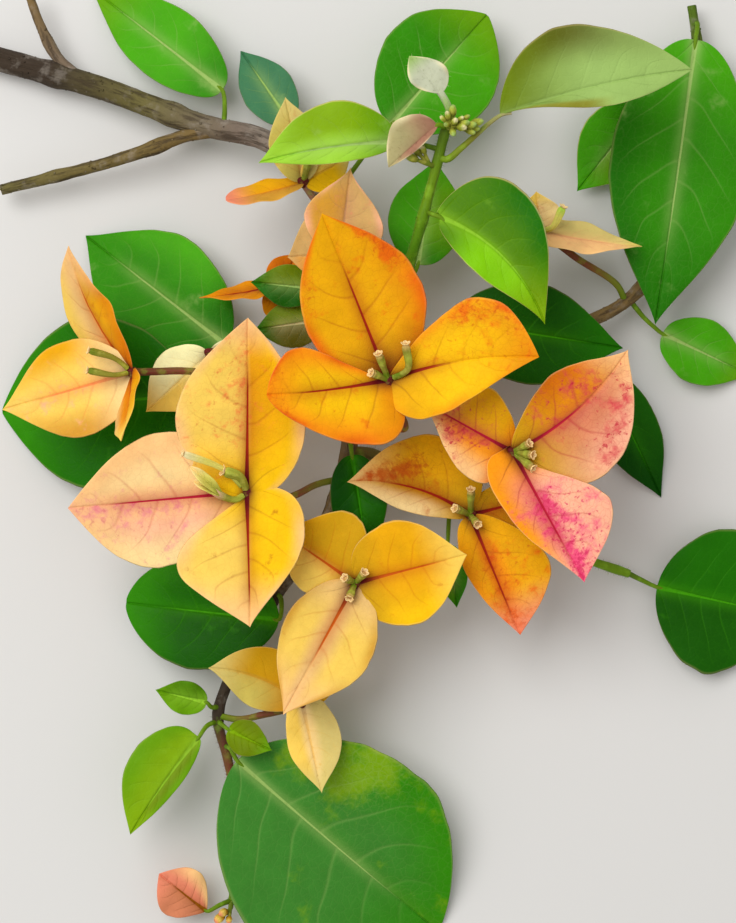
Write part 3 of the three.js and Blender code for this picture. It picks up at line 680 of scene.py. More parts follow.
stemSlots = {
    "bark": {
        "streakScale": 1000.0, "streakStretch": 0.14, "streakShare": 0.7, "patchScale": 300.0,
        "patchShare": 0.32, "rough": 0.78, "specular": 0.25, "bump": 0.0003,
    },
    "young_stem": {
        "streakScale": 1100.0, "streakStretch": 0.05, "streakShare": 0.35, "patchScale": 350.0,
        "patchShare": 0.25, "rough": 0.48, "streakColour": lightFull("shootDark"),
        "patchColour": lightFull("lime"), "bump": 0.00012,
    },
    "flower": {
        "streakStretch": 0.06, "streakColour": lightFull("tubeOlive"),
        "patchColour": lightFull("tubeYellow"), "specular": 0.2,
    },
    "cut_wood": {
        "streakShare": 0.2, "patchScale": 600.0, "rough": 0.85, "streakColour": lightFull("woodPith"),
        "patchColour": lightFull("woodRing"), "specular": 0.1,
    },
    "bud": {
        "streakScale": 1700.0, "streakStretch": 0.3, "streakShare": 0.35, "patchShare": 0.3,
        "streakColour": lightFull("shootDark"), "patchColour": lightFull("tubeYellow"),
    },
}
for skin, look, slots in (
    (bladeSkin, bractLook, bractSlots),
    (bladeSkin, leafLook, leafSlots),
    (limbSkin, stemLook, stemSlots),
):
    for slot, changes in slots.items():
        makeMaterial(slot, skin, {**look, **changes})
print("materials built")


# Blades: bracts and leaves share one shape, each with its own values
# bases, lobes and blotches are (left, right), grid is (steps across, steps along), a patch of blotches
# is (across, along, strength), and tones name a paint for each place: right is as left where it is unsaid

bladeShape = {
    "skew": 0, "bow": 0, "arch": 0, "fold": 0.14, "cup": -0.07, "widest": 0.42, "point": 0.6,
    "shiftWidest": 0, "lobes": (0, 0), "bases": (0.55, 0.55), "face": (0, 0, 1), "ripple": 0.3,
    "ripples": 2.2, "wobble": 0.06, "crinkle": 0.16, "crinkleScale": 260, "pairs": 5, "slant": 0.25,
    "veinDepth": 0.12, "ribWidth": 0.5, "grid": (40, 48), "seed": 1,
    "tipFrom": 0.55, "baseTo": 0.38, "blotches": (0, 0), "tipBlotch": 0, "patches": [], "rib": 1,
    "ribTo": 0.85,
}
bractShape = {
    **bladeShape, "arch": -0.03, "cup": -0.06, "thickness": 0.26, "ribWidth": 0.62, "vein": "burnt",
}
leafShape = {
    **bladeShape, "arch": 0.04, "cup": -0.08, "thickness": 0.34, "pairs": 6, "veinDepth": 0.2,
    "ribWidth": 0.55, "grid": (44, 56), "vein": "sage", "parent": "axis", "downy": False,
    "rests": False, "petioleGirths": (0.52, 0.34), "petioleColours": ["shootDark", "shoot", "shoot"],
}
bladeLengths = ("length", "width", "thickness", "crinkle", "ripple", "veinDepth", "ribWidth")
bladePairs = {
    "bases": ("baseLeft", "baseRight"),
    "lobes": ("lobeLeft", "lobeRight"),
    "grid": ("acrossSteps", "alongSteps"),
}


def bladeMesh(blade, base, tip, material):
    # Grows a blade from base to tip and deals it its tones
    chord = tip - base
    ahead = chord.normalized()
    face = Vector(blade["face"])
    facing = (face - ahead * face.dot(ahead)).normalized()
    turn = Matrix((ahead.cross(facing), ahead, facing)).transposed().to_euler()
    values = {**blade, "length": chord.length, "base": base * mm, "turn": turn, "material": material}
    for name in bladeLengths:
        values[name] *= mm
    for name, ends in bladePairs.items():
        values.update(zip(ends, blade[name]))
    mesh = grow(bladeTree, values)
    paintBlade(mesh, blade)
    return mesh


def lowest(mesh):
    places = np.empty(len(mesh.vertices) * 3)
    mesh.vertices.foreach_get("co", places)
    return places[2::3].min() / mm


# Stems: each one's path is kept by name for whatever grows on it

stems = {}


def between(start, end):
    return lambda share: start + (end - start) * share


def egg(girth, end):
    return lambda share: girth * math.sqrt(max(1 - (2 * share - 1) ** 2, end))


def knobs(girthAt, places, length, rise, width=2.2):
    # Swells a stem a little at its nodes
    def swollen(share):
        swell = sum(math.exp(-((share - place) / (width / length)) ** 2) for place in places)
        return girthAt(share) * (1 + rise * min(swell, 1))
    return swollen


pores = {
    "density": 150000.0, "width": 0.2 * mm, "height": 0.1 * mm, "tip": 0.4, "corners": 7, "seed": 4,
    "skin": "bark", "colour": "barkPale",
}
down = {
    "density": 2600000.0, "width": 0.022 * mm, "height": 0.45 * mm, "tip": 0.1, "corners": 4,
    "seed": 9, "skin": "bud", "colour": "silver",
}


def dress(mesh, cover):
    # Scatters small cones of one colour over a mesh
    crowd = grow(scatterTree, {**cover, "material": materials[cover["skin"]]}, mesh.copy())
    writeColours(crowd, "tint", light(cover["colour"]))
    return crowd


barkRelief = {
    "sides": 40, "lumpDepth": 0.1 * mm, "lumpScale": 420.0, "grainDepth": 0.16 * mm,
    "grainScale": 1400.0, "grainStretch": 0.16, "seed": 0.3, "material": materials["bark"],
}
youngRelief = {
    "sides": 28, "lumpDepth": 0.06 * mm, "lumpScale": 350.0, "grainDepth": 0.04 * mm,
    "grainScale": 1300.0, "grainStretch": 0.08, "seed": 0.5, "material": materials["young_stem"],
}


def makeStem(node, slot, path, girthAt, paintNames, **span):
    relief, cover = (barkRelief, pores) if slot == "bark" else (youngRelief, down)
    mesh = limbMesh(path, relief, girthAt, paintNames, **span)
    finishPiece(joinMeshes(camelName(node), [mesh, dress(mesh, cover)]), node)


axis = {
    "path": [
        (-74, 74.5, 2.34), (-66, 72.3, 3.2), (-48, 67.2, 5), (-30, 60.6, 7.5), (-18.5, 57.8, 9.4),
        (-9, 50.5, 10.8), (-4.1, 41.7, 11.6), (-2, 27.3, 11.8), (-2.6, 11.1, 11.6), (-4.6, -3.3, 11),
        (-9.4, -14.5, 9.8), (-15.2, -22, 8.8), (-20, -29.5, 8), (-24.2, -37.5, 7.6),
        (-27, -45.8, 7.4), (-25.4, -53, 6.2), (-23.8, -61, 4.6), (-23.4, -70, 3.6), (-24.6, -79, 3.2),
    ],
    "girths": (2.3, 1.72, 0.6),
    "parts": [
        # branch_woody is painted dark at the cut end and pale where it meets branch_middle: the pale is a
        # painted highlight, and the dark is partly the bark's own colour and partly painted shade
        ("branch_woody", "bark", 0, 0.345, ["barkDark", "barkDark", "olive", "bark", "barkPale"]),
        ("branch_middle", "bark", 0.345, 0.62, ["barkPale", "bark", "twig"]),
        ("branch_lower", "bark", 0.62, 0.835, ["twig", "barkDark", "barkDark"]),
        ("branch_tip", "young_stem", 0.835, 1, ["barkDark", "shootRed", "shoot", "shoot"]),
    ],
    "nodes": (0.09, 0.2, 0.345, 0.48, 0.62, 0.73, 0.835, 0.93),
    "cutRings": [  # paint, girth and how far each stands out
        ("woodPale", 1.95, 0.04), ("woodRing", 1.1, 0.07), ("woodPale", 0.95, 0.09), ("woodPith", 0.4, 0.11),
    ],
}


def axisGirth(share):
    return float(np.interp(share, (0, 0.5, 1), axis["girths"]))


axisPath = Path([seen(place) for place in axis["path"]])
stems["axis"] = axisPath
axisSwollen = knobs(axisGirth, axis["nodes"], axisPath.length, 0.16)
for node, slot, start, stop, paintNames in axis["parts"]:
    makeStem(node, slot, axisPath, axisSwollen, paintNames, start=start, stop=stop, spacing=0.4)

# The cut end shows pale wood round its pith
middle, ahead = axisPath.at(0), axisPath.ahead(0)
wood = {"sides": 40, "material": materials["cut_wood"]}
rings = []
for paint, girth, reach in axis["cutRings"]:
    way = Path([middle - ahead * reach, middle + ahead * 0.4])
    rings.append(limbMesh(way, wood, between(girth, girth), [paint, paint], spacing=0.2))
finishPiece(joinMeshes("cutFace", rings))

shoots = [
    dict(
        node="shoot_upper", slot="young_stem", girths=(1.2, 0.78),
        path=[
            (1.8, 25.6, 14.2), (5.2, 30, 18.6), (7.9, 37.2, 22.6), (11.2, 48.9, 25.8), (13, 56, 27.2),
            (14, 60, 27.9),
        ],
        colours=["twig", "shoot", "fern", "shoot", "shootDark"], nodes=(0.4, 0.62, 0.86, 0.97),
    ),
    dict(
        node="shoot_left", slot="young_stem", girths=(1.1, 0.7),
        path=[(-7, 11.3, 12.4), (-14, 13.4, 13.1), (-21, 14.8, 13.4), (-27, 16.3, 13.2)],
        colours=["twig", "shoot", "shoot"], nodes=(0.35, 0.7, 0.96),
    ),
    dict(
        node="shoot_right", slot="bark", girths=(1.45, 0.85),
        path=[
            (3, 20, 11.4), (14.8, 20.8, 10.2), (31, 22.8, 8.8), (46.3, 28.7, 7), (56, 42, 5), (60, 58, 3.8),
            (59.4, 74, 3.2), (58.3, 82, 3.4),
        ],
        colours=["bark", "twig", "twig", "shootDark"], nodes=(0.1, 0.3, 0.5, 0.72, 0.93),
    ),
    dict(
        node="shoot_lower_right", slot="young_stem", girths=(1.2, 0.75),
        path=[
            (1, 1.2, 10.8), (9, -3.6, 10.8), (18, -6, 10.4), (31, -14.5, 8), (41, -18.2, 5.6),
            (47, -20.2, 4.4),
        ],
        colours=["twig", "shootDark", "shoot", "shoot"], nodes=(0.3, 0.6, 0.95),
    ),
    dict(
        node="twig_top", slot="bark", girths=(1.1, 0.8), foot=(-50, 68.5, 5),
        path=[(-55.6, 72.4, 4.8), (-59, 78.6, 5.2), (-61, 84, 5.4)], colours=["bark", "twig"], nodes=(0.5,),
    ),
    dict(
        node="twig_left", slot="bark", girths=(1.3, 1), foot=(-26, 60, 8),
        path=[(-33, 58.6, 7.4), (-40, 56, 6.8), (-48.2, 53.4, 6), (-66, 48.9, 4.6)],
        colours=["twig", "olive"], nodes=(0.3, 0.75),
    ),
]
for shoot in shoots:
    points = [seen(place) for place in shoot["path"]]
    foot = seen(shoot["foot"]) if "foot" in shoot else points[0]
    path = Path([axisPath.nearest(foot), *points])
    stems[shoot["node"]] = path
    girthAt = knobs(between(*shoot["girths"]), shoot["nodes"], path.length, 0.2)
    makeStem(shoot["node"], shoot["slot"], path, girthAt, shoot["colours"], spacing=0.35)
print("stems made")


# Blooms: bracts round a dark centre, flower tubes, and a stalk down to the parent stem

bloomShape = {
    "parent": "axis", "seedStep": 1.7, "stalkGirths": (0.7, 0.6),
    "stalkColours": ["maroon", "shootRed", "shoot"],
    "knobEnds": ((0, 0, -0.7), (0.05, 0, 0.75)), "knobGirth": 1.05, "knobColours": ["maroon", "maroon"],
}
stalkRelief = {
    "sides": 14, "lumpDepth": 0.03 * mm, "lumpScale": 900.0, "grainDepth": 0.02 * mm,
    "grainScale": 2200.0, "grainStretch": 0.1, "seed": 0.7, "material": materials["young_stem"],
}
tubeShape = {
    "girth": 0.7,
    "colours": ["moss", "moss", "tubeOlive", "tubeOlive", "tubeGreen", "tubeOlive", "wheat"],
}
tubeRelief = {
    "sides": 20, "ribs": 5.0, "ribDepth": 0.1, "lumpDepth": 0.03 * mm, "lumpScale": 900.0,
    "material": materials["flower"],
}
knobRelief = {"sides": 16, "ribs": 3.0, "ribDepth": 0.12, "material": materials["flower"]}
mouthShape = {
    **bractShape, "point": 0, "bases": (0.3, 0.3), "cup": 0.1, "thickness": 0.12, "crinkle": 0.03,
    "veinDepth": 0.02, "ripple": 0.04, "ribWidth": 0.1, "grid": (8, 10),
    "tones": "left cream, base honey, vein tubePink",
}
lipShape = {
    **bractShape, "width": 2.9, "fold": 0.75, "cup": -0.1, "arch": 0.09, "point": 0.1,
    "widest": 0.6, "grid": (14, 30), "thickness": 0.3, "crinkle": 0.05, "face": (-0.3, 0.4, 0.9),
    "tones": "left tubeYellow, base tubeGreen, tip cream, vein tubeOlive", "baseTo": 0.6, "rib": 0.3,
}
petioles = []


def tubeGirth(girth):
    # Narrow in the lower half, widest near the mouth, with a blunt rounded end
    def at(share):
        body = 0.74 + 0.3 * float(smooth(np.array(share), 0.35, 0.85))
        end = max(0.0, (share - 0.9) / 0.1)
        return girth * body * math.sqrt(max(1 - end * end, 0.02))
    return at


def makeTube(flower, centre):
    shape = {**tubeShape, **flower}
    path = Path([centre, *(centre + Vector(step) for step in shape["path"])])
    values = {**tubeRelief, "seed": shape["path"][0][0]}
    tube = limbMesh(path, values, tubeGirth(shape["girth"]), shape["colours"], 0.12, spacing=0.16)
    ends = [centre + Vector(lip) for lip in shape.get("lips", [])]
    lips = [bladeMesh(lipShape, path.at(0.6), end, materials["bract_pale"]) for end in ends]
    return [tube, *(lips or makeMouth(path, shape["girth"]))]


def makeMouth(path, girth):
    # Five small lobes round the mouth of a tube
    ahead = path.ahead(1)
    side = ahead.orthogonal().normalized()
    lobes = []
    for count in range(5):
        out = Quaternion(ahead, count * fullTurn / 5) @ side
        base = path.at(0.97) + out * girth * 0.5
        lobe = {**mouthShape, "width": 1.3 * girth, "face": ahead - out * 0.5}
        tip = base + (out * 0.75 + ahead * 0.75) * girth
        lobes.append(bladeMesh(lobe, base, tip, materials["bract_pale"]))
    return lobes


def makeBloom(bloom):
    bloom = {**bloomShape, **bloom}
    centre = seen(bloom["centre"])
    name = camelName(bloom["node"])
    blades = []
    for count, bract in enumerate(bloom["bracts"]):
        seed = bloom["seed"] + count * bloom["seedStep"]
        blade = {**bractShape, "seed": seed, "veinBase": "maroon", **bract}
        lift = Vector((0, 0, bract.get("lift", 0)))
        tip = seen(bract["tip"]) + lift
        blades.append(bladeMesh(blade, centre + lift, tip, materials[bloom["slot"]]))
    finishPiece(joinMeshes(name, blades), bloom["node"])
    way = [seen(place) for place in bloom["stalk"]]
    stalk = Path([centre, *way, stems[bloom["parent"]].nearest(way[-1])])
    girthAt = between(*bloom["stalkGirths"])
    petioles.append(limbMesh(stalk, stalkRelief, girthAt, bloom["stalkColours"], spacing=0.5))
    flowers = [mesh for flower in bloom["flowers"] for mesh in makeTube(flower, centre)]
    knobPath = Path([centre + Vector(end) for end in bloom["knobEnds"]])
    girthAt = egg(bloom["knobGirth"], 0.02)
    knob = limbMesh(knobPath, knobRelief, girthAt, bloom["knobColours"], spacing=0.12)
    finishPiece(joinMeshes(name + "Flowers", [*flowers, knob]))


blooms = [
    dict(
        node="bloom_big_yellow", slot="bract_yellow", seed=3.1, centre=(-21.8, -5.5, 25),
        stalk=[(-18.4, -6.8, 21.8), (-13.8, -6.3, 19.4), (-9.4, -4.2, 15.8), (-6.2, -3.4, 13.8)],
        bracts=[
            dict(
                tip=(-21.6, 25.8, 31.5), width=23.4, skew=-0.1, grid=(56, 68), lift=0.5, lobes=(0.05, 0.03),
                widest=0.4, point=0.36,
                tones="left butter, right gold, farRight lemon, base lemon, tip apricot, rim apricot, "
                "vein brick, blotch coral", tipFrom=0.75, blotches=(0.38, 0.15),
            ),
            # Its darker honey base is partly the bract's own colour and partly painted shade where it lies
            # deep in the bloom
            dict(
                tip=(-54, -8.4, 31), width=24.4, grid=(56, 68), widest=0.47, shiftWidest=-0.05, point=0.38,
                tones="left peach, farLeft cream, right cream, farRight apricot, centre apricot, "
                "base honey, tip apricot, vein crimson, blotch blush", baseTo=0.3, ribTo=0.92,
                blotches=(0.46, 0.16), tipBlotch=0.25,
            ),
            dict(
                tip=(-21.2, -29.8, 29), width=23.2, skew=0.1, grid=(56, 68), lift=0.5, shiftWidest=0.12,
                widest=0.4, bases=(0.5, 1.1), lobes=(0.04, 0),
                tones="left lemon, right butter, base lemon, tip apricot, rim apricot, vein brick",
                ribTo=0.98,
            ),
        ],
        flowers=[
            dict(
                path=[(-4.1, 4.1, 3.6), (-11.3, 7, 6.4)], girth=0.6,
                colours=["tubeGreen", "tubeYellow", "tubeYellow", "tubeCream"],
            ),
            dict(
                path=[(-1.8, -1.3, 1.2), (-4.6, -0.5, 2.6), (-6.6, 1.2, 3.4)], girth=0.75,
                colours=["tubeGreen", "tubeGreen", "tubeOlive", "tubePink", "tubePink"],
                lips=[(-9.9, 4.6, 5.2), (-9.4, 2, 3.8)],
            ),
            dict(path=[(-1.2, 2.8, 2.2), (-4, 3.8, 3.2)], girth=0.9, colours=["tubeOlive", "tubeGreen"]),
        ],
    ),
    dict(
        node="bloom_orange", slot="bract_orange", seed=7.4, centre=(3.6, 14.7, 30),
        stalk=[(5, 10.4, 28.4), (6.7, 6.2, 25.4), (4, 6.6, 19), (0, 9, 14.4)],
        bracts=[
            # This bract's dark base is a painted shadow where it lies deep in the bloom
            dict(
                tip=(-8.3, 44.7, 36), width=22.4, skew=0.08, widest=0.45, grid=(56, 68), point=0.45,
                lift=-0.4,
                tones="left gold, farRight amber, base rust, tip gold, rim vermilion, vein brick, "
                "blotch vermilion", baseTo=0.3, ribTo=0.82, blotches=(0.1, 0.2),
                patches=[(0.9, 0.8, 0.5), (0.9, 0.62, 0.4), (-0.9, 0.62, 0.5)],
            ),
            dict(
                tip=(-18.2, 12, 35.6), width=19.2, skew=-0.16, widest=0.45, grid=(52, 60), shiftWidest=0.25,
                point=0.08, lift=0.3, lobes=(0.1, 0), bow=-0.02, bases=(0.72, 0.55),
                tones="left lemon, farLeft tangerine, farRight tangerine, base amber, tip tangerine, "
                "rim vermilion, vein brick, blotch vermilion", baseTo=0.25, ribTo=0.9, blotches=(0.2, 0.1),
                tipBlotch=0.3,
            ),
            dict(
                tip=(30.8, 18.8, 37), width=19.8, skew=-0.1, widest=0.44, bow=-0.05, grid=(56, 64),
                shiftWidest=-0.2, point=0.4, lobes=(0, 0.06), bases=(0.55, 0.75),
                tones="left lemon, farLeft gold, base gold, tip amber, rim tangerine, vein brick, "
                "blotch vermilion", ribTo=0.56, blotches=(0.3, 0.1),
                patches=[(-0.85, 0.55, 0.5), (-0.85, 0.78, 0.5)],
            ),
        ],
        flowers=[
            dict(path=[(-2.9, 1.1, 2.6)]),
            dict(path=[(-1.7, 4.4, 3.6)]),
            dict(path=[(3.5, 1.9, 1.8), (3.1, 6.3, 3.9)]),
        ],
    ),
    dict(
        node="bloom_pink", slot="bract_pink", parent="shoot_lower_right", seed=11.2, centre=(26.1, 1.7, 25),
        stalk=[(23.6, -0.6, 22.5), (20.4, -3.4, 15.6), (19.9, -4.6, 13)],
        bracts=[
            dict(
                tip=(9.9, 10.8, 27), width=16.4, lift=-0.3, widest=0.36, shiftWidest=0.13,
                tones="left tangerine, farLeft apricot, right gold, base orange, tip apricot, "
                "vein crimson, blotch cherry", baseTo=0.25, ribTo=0.95, blotches=(0.5, 0.3),
                patches=[(-0.6, 0.62, 0.5), (0.4, 0.8, 0.4)],
            ),
            dict(
                tip=(46.8, 20.1, 33), width=20, skew=0.22, widest=0.45, grid=(56, 64), shiftWidest=-0.05,
                lift=0.2, bow=0.07,
                tones="left amber, farLeft orange, right terracotta, farRight peach, base mustard, "
                "tip apricot, vein crimson, blotch cherry", baseTo=0.5, tipFrom=0.65, ribTo=0.72,
                blotches=(0.3, 0.3),
                patches=[(-0.6, 0.6, 0.3), (-0.8, 0.3, 0.4), (0.8, 0.52, 0.35), (0.75, 0.78, 0.4)],
            ),
            dict(
                tip=(38.9, -21.7, 32), width=17.8, skew=-0.25, grid=(56, 64), lift=0.5, shiftWidest=-0.18,
                lobes=(0, 0.05), point=0.55, bases=(1.1, 0.4),
                tones="left peach, right salmon, farRight tangerine, base tangerine, tip peach, "
                "vein crimson, blotch magenta", baseTo=0.34, ribTo=0.9, blotches=(0.7, 0.55), tipBlotch=0.3,
            ),
        ],
        flowers=[
            dict(path=[(2.7, 1.5, 2.4)]),
            dict(path=[(3.3, -0.5, 2.6)]),
            dict(path=[(3.4, -2.8, 2.2)]),
        ],
    ),
    dict(
        node="bloom_olive", slot="bract_olive", parent="shoot_lower_right", seed=15.9,
        centre=(18.4, -9.6, 16), stalk=[(18.5, -8.8, 14.2), (18.6, -8, 13)],
        bracts=[
            dict(
                tip=(-3.8, -3.7, 19.5), width=15.3, skew=0.4, shiftWidest=-0.05, bow=0.09,
                tones="left sand, farLeft cream, right gold, centre mustard, base mustard, tip sand, "
                "vein brick, blotch burnt", blotches=(0.1, 0.5),
                patches=[(0.45, 0.55, 0.4), (0.2, 0.75, 0.3)],
            ),
            dict(
                tip=(27.4, -31.2, 20.5), width=15, skew=-0.35, widest=0.45, point=0.45, shiftWidest=-0.09,
                tones="left gold, farRight amber, centre tangerine, base gold, tip salmon, vein brick, "
                "blotch vermilion", tipFrom=0.6, ribTo=0.95, blotches=(0.5, 0.45), tipBlotch=0.2,
            ),
            dict(tip=(35, -5.5, 14.5), width=9, tones="left mustard, right ochre, tip orange, vein brick"),
        ],
        flowers=[dict(path=[(0, 4.6, 3.4)]), dict(path=[(-2.8, 1.2, 3)]), dict(path=[(1.2, -1.6, 2.8)])],
    ),
    dict(
        node="bloom_golden", slot="bract_golden", seed=19.3, centre=(-2.3, -21.9, 20),
        stalk=[(-4.4, -21.6, 15.8), (-7.4, -20.4, 12.8), (-9, -19, 11.8)],
        bracts=[
            dict(
                tip=(-16, -12.5, 21), width=17, skew=0.22,
                tones="left butter, right mustard, base mustard, tip gold",
            ),
            dict(
                tip=(17.8, -16.8, 24.5), width=19.6, skew=0.04, grid=(48, 56), bases=(0.36, 0.36),
                point=0.5, tones="left gold, farRight lemon, base mustard, tip butter", ribTo=0.9,
            ),
            dict(
                tip=(-15.3, -45.6, 25.5), width=17.5, skew=-0.07, grid=(44, 56),
                tones="left butter, centre sand, base sand, tip apricot, rim honey", ribTo=0.72,
            ),
        ],
        flowers=[dict(path=[(-1.8, 1, 2.4)]), dict(path=[(1.6, 2, 2.4)]), dict(path=[(-1, -2.5, 2.2)])],
    ),
    dict(
        node="bloom_side_left", slot="bract_amber", parent="shoot_left", seed=23.8,
        centre=(-42.5, 16.1, 23),
        stalk=[(-38, 16.2, 22.8), (-33, 16.3, 22.2), (-24, 15.4, 20.4), (-16.6, 14.4, 16)],
        stalkColours=["maroon", "shootRed", "shootRed", "shootRed"],
        bracts=[
            dict(
                tip=(-65.9, 9.3, 19.5), width=18, face=(-0.1, 0, 1), grid=(44, 56),
                tones="left butter, farLeft honey, farRight gold, base cream, tip butter, vein coral, "
                "blotch peach", baseTo=0.45, rib=0.7, blotches=(0.3, 0.2),
            ),
            dict(
                tip=(-54, 38.8, 28), width=14, widest=0.46, face=(-0.75, -0.2, 0.65), bow=-0.15,
                tones="left sand, farLeft butter, right gold, farRight amber, base orange, tip apricot",
            ),
            dict(
                tip=(-44.6, 3.7, 31), width=13, widest=0.46, face=(-0.9, 0, 0.45),
                tones="left gold, right amber, farRight sand, base orange, tip butter",
            ),
        ],
        flowers=[
            dict(
                path=[(-3, 2.4, 1.6), (-7.6, 3.8, 2.8)], girth=0.6,
                colours=["tubeGreen", "tubeOlive", "tubeOlive", "moss"],
            ),
            dict(
                path=[(-3, -0.6, 2), (-7.8, 0.2, 2.6)], girth=0.6,
                colours=["tubeGreen", "tubeOlive", "tubeOlive", "moss"],
            ),
        ],
    ),
    dict(
        node="bloom_small_lower", slot="bract_pale", seed=27.5, centre=(-11.9, -43.3, 13.6),
        stalk=[(-14.6, -44.6, 11.8), (-19, -45.6, 10.8), (-23, -46.4, 9.8)],
        bracts=[
            dict(
                tip=(-28.8, -37.2, 15.5), width=11.8, skew=0.05, bow=0.08,
                tones="left khaki, right mustard, base ochre, tip straw, vein ochre", baseTo=0.5, rib=0.6,
            ),
            dict(
                tip=(-8.3, -59.7, 16), width=10.2, skew=-0.15, bases=(0.25, 0.25), point=0.7,
                tones="left straw, right butter, centre cream, tip straw, vein gold", rib=0.5,
            ),
            dict(tip=(-6.5, -36, 12.5), width=7, tones="left sand, right mustard, tip gold"),
        ],
        flowers=[dict(path=[(0.4, 1.4, 2.4)])],
    ),
    dict(
        node="bloom_peach_back", slot="bract_peach", seed=31.6, centre=(-11.7, 50.3, 17),
        stalk=[(-10.2, 48, 15.6), (-8.2, 45.4, 14.4), (-7, 45.6, 13.6)],
        stalkColours=["rosewood", "rosewood", "twig"],
        bracts=[
            dict(
                tip=(-14.9, 65.6, 18.5), width=9.6, widest=0.44, tones="left khaki, right straw, tip straw",
                rib=0.5,
            ),
            dict(
                tip=(-25.6, 47.1, 18.5), width=9, widest=0.5, face=(0, 0.85, 0.5), point=-0.1,
                bases=(0.35, 0.35), tones="left honey, right gold, tip salmon", rib=0.5,
            ),
            dict(
                tip=(-3, 55, 16.5), width=8, tones="left butter, right lemon, tip straw, vein ochre",
                rib=0.5,
            ),
        ],
        flowers=[dict(path=[(0.5, 1.6, 0.8), (1, 4, 1)])],
    ),
    dict(
        node="bloom_peach_middle", slot="bract_peach", seed=35.2, centre=(-5, 37.5, 21.5),
        stalk=[(-4.6, 37.2, 18), (-3.8, 37, 14.6)],
        bracts=[
            dict(
                tip=(-3.1, 53, 22.5), width=14.8, widest=0.34, lift=0.6, point=0.95, shiftWidest=-0.05,
                tones="left honey, right wheat, tip wheat, rim peach, vein rosewood, blotch salmon",
                rib=0.6, blotches=(0.2, 0.3),
            ),
            dict(
                tip=(-14.5, 36.8, 21), width=12.5, skew=0.3, lift=-0.5,
                tones="left amber, right wheat, tip wheat, vein tan", rib=0.5,
            ),
            dict(tip=(-9.5, 27.5, 18.5), width=8.5, tones="left amber, right gold, tip sand"),
        ],
        flowers=[dict(path=[(0.4, 0.6, 2.6)])],
    ),
    dict(
        node="bloom_orange_back", slot="bract_amber", seed=39.9, centre=(-17.5, 31.4, 11.4),
        stalk=[(-14, 31.2, 10), (-9, 30.8, 10.2), (-5, 30.4, 11)],
        bracts=[
            dict(
                tip=(-30.4, 29.6, 14), width=7, widest=0.3, point=0.9, face=(0, 0.85, 0.5),
                tones="left amber, vein brick",
            ),
            dict(tip=(-14, 24, 8.5), width=6.4, tones="left orange, right amber, tip sand, vein brick"),
            dict(tip=(-12, 37.5, 9), width=6.4, tones="left orange, right amber, tip orange, vein brick"),
        ],
        flowers=[dict(path=[(0, 0.4, 2.2)])],
    ),
    dict(
        node="bloom_pale_left", slot="bract_pale", parent="shoot_left", seed=43.3,
        centre=(-28.5, 19.5, 17.4), stalk=[(-28, 18.8, 15.8), (-27, 17.8, 14.8)],
        bracts=[
            dict(
                tip=(-40, 8.9, 17.5), width=11.8,
                tones="left butter, right ivory, base ivory, tip butter, vein butter", baseTo=0.6, rib=0.5,
            ),
            dict(tip=(-19, 17.6, 14.2), width=7, tones="left ivory, tip cream, vein butter"),
            dict(tip=(-22, 8, 16.5), width=9, tones="left cream, right butter, tip apricot"),
        ],
        flowers=[dict(path=[(1.2, -1, 2.2)])],
    ),
    dict(
        node="bloom_side_right", slot="bract_peach", parent="shoot_right", seed=47.1, centre=(31, 41.5, 15),
        stalk=[(33.4, 39.8, 13), (37.6, 36.6, 11.4), (44.6, 32, 9.6)],
        bracts=[
            dict(
                tip=(49.4, 38.8, 16.5), width=11, widest=0.3, face=(0, 0.8, 0.6), bases=(0.3, 0.3),
                point=0.75, tones="left straw, right apricot, tip khaki, vein salmon", tipFrom=0.75,
                rib=0.5,
            ),
            dict(tip=(30.3, 48.6, 17), width=8.4, tones="left butter, right cream, tip butter", rib=0.5),
            dict(tip=(21, 36, 13.5), width=9, tones="left straw, tip sand", rib=0.6),
        ],
        flowers=[
            dict(
                path=[(2.2, 0.6, 2), (4, 4.1, 3.4)],
                colours=["tubeGreen", "tubeYellow", "tubeYellow", "lime"],
            ),
        ],
    ),
]
for bloom in blooms:
    makeBloom(bloom)
print("blooms made")


# Leaves: a petiole along its own path to the base of a blade; one that rests lies on the floor

petioleRelief = {**stalkRelief, "sides": 12}
petioleEnds = {"under": 0.1, "inside": 0.06, "insideUnder": 0.25}
floorGap = 0.02
settleRounds = 3


def makeLeaf(leaf):
    leaf = {**leafShape, **leaf}
    base = seen(leaf["base"])
    tip = seen(leaf["tip"])
    material = materials[leaf["slot"]]
    mesh = bladeMesh(leaf, base, tip, material)
    if leaf["rests"]:
        for _ in range(settleRounds):
            tip.z -= lowest(mesh) - floorGap
            mesh = bladeMesh(leaf, base, tip, material)
    way = [seen(place) for place in leaf["petiole"]]
    foot = stems[leaf["parent"]].nearest(way[0])
    under = base - Vector((0, 0, petioleEnds["under"]))
    inside = base.lerp(tip, petioleEnds["inside"]) - Vector((0, 0, petioleEnds["insideUnder"]))
    stalk = Path([foot, *way, under, inside])
    girthAt = between(*leaf["petioleGirths"])
    petioles.append(limbMesh(stalk, petioleRelief, girthAt, leaf["petioleColours"], spacing=0.5))
    meshes = [mesh, dress(mesh, down)] if leaf["downy"] else [mesh]
    finishPiece(joinMeshes(camelName(leaf["node"]), meshes), leaf["node"])
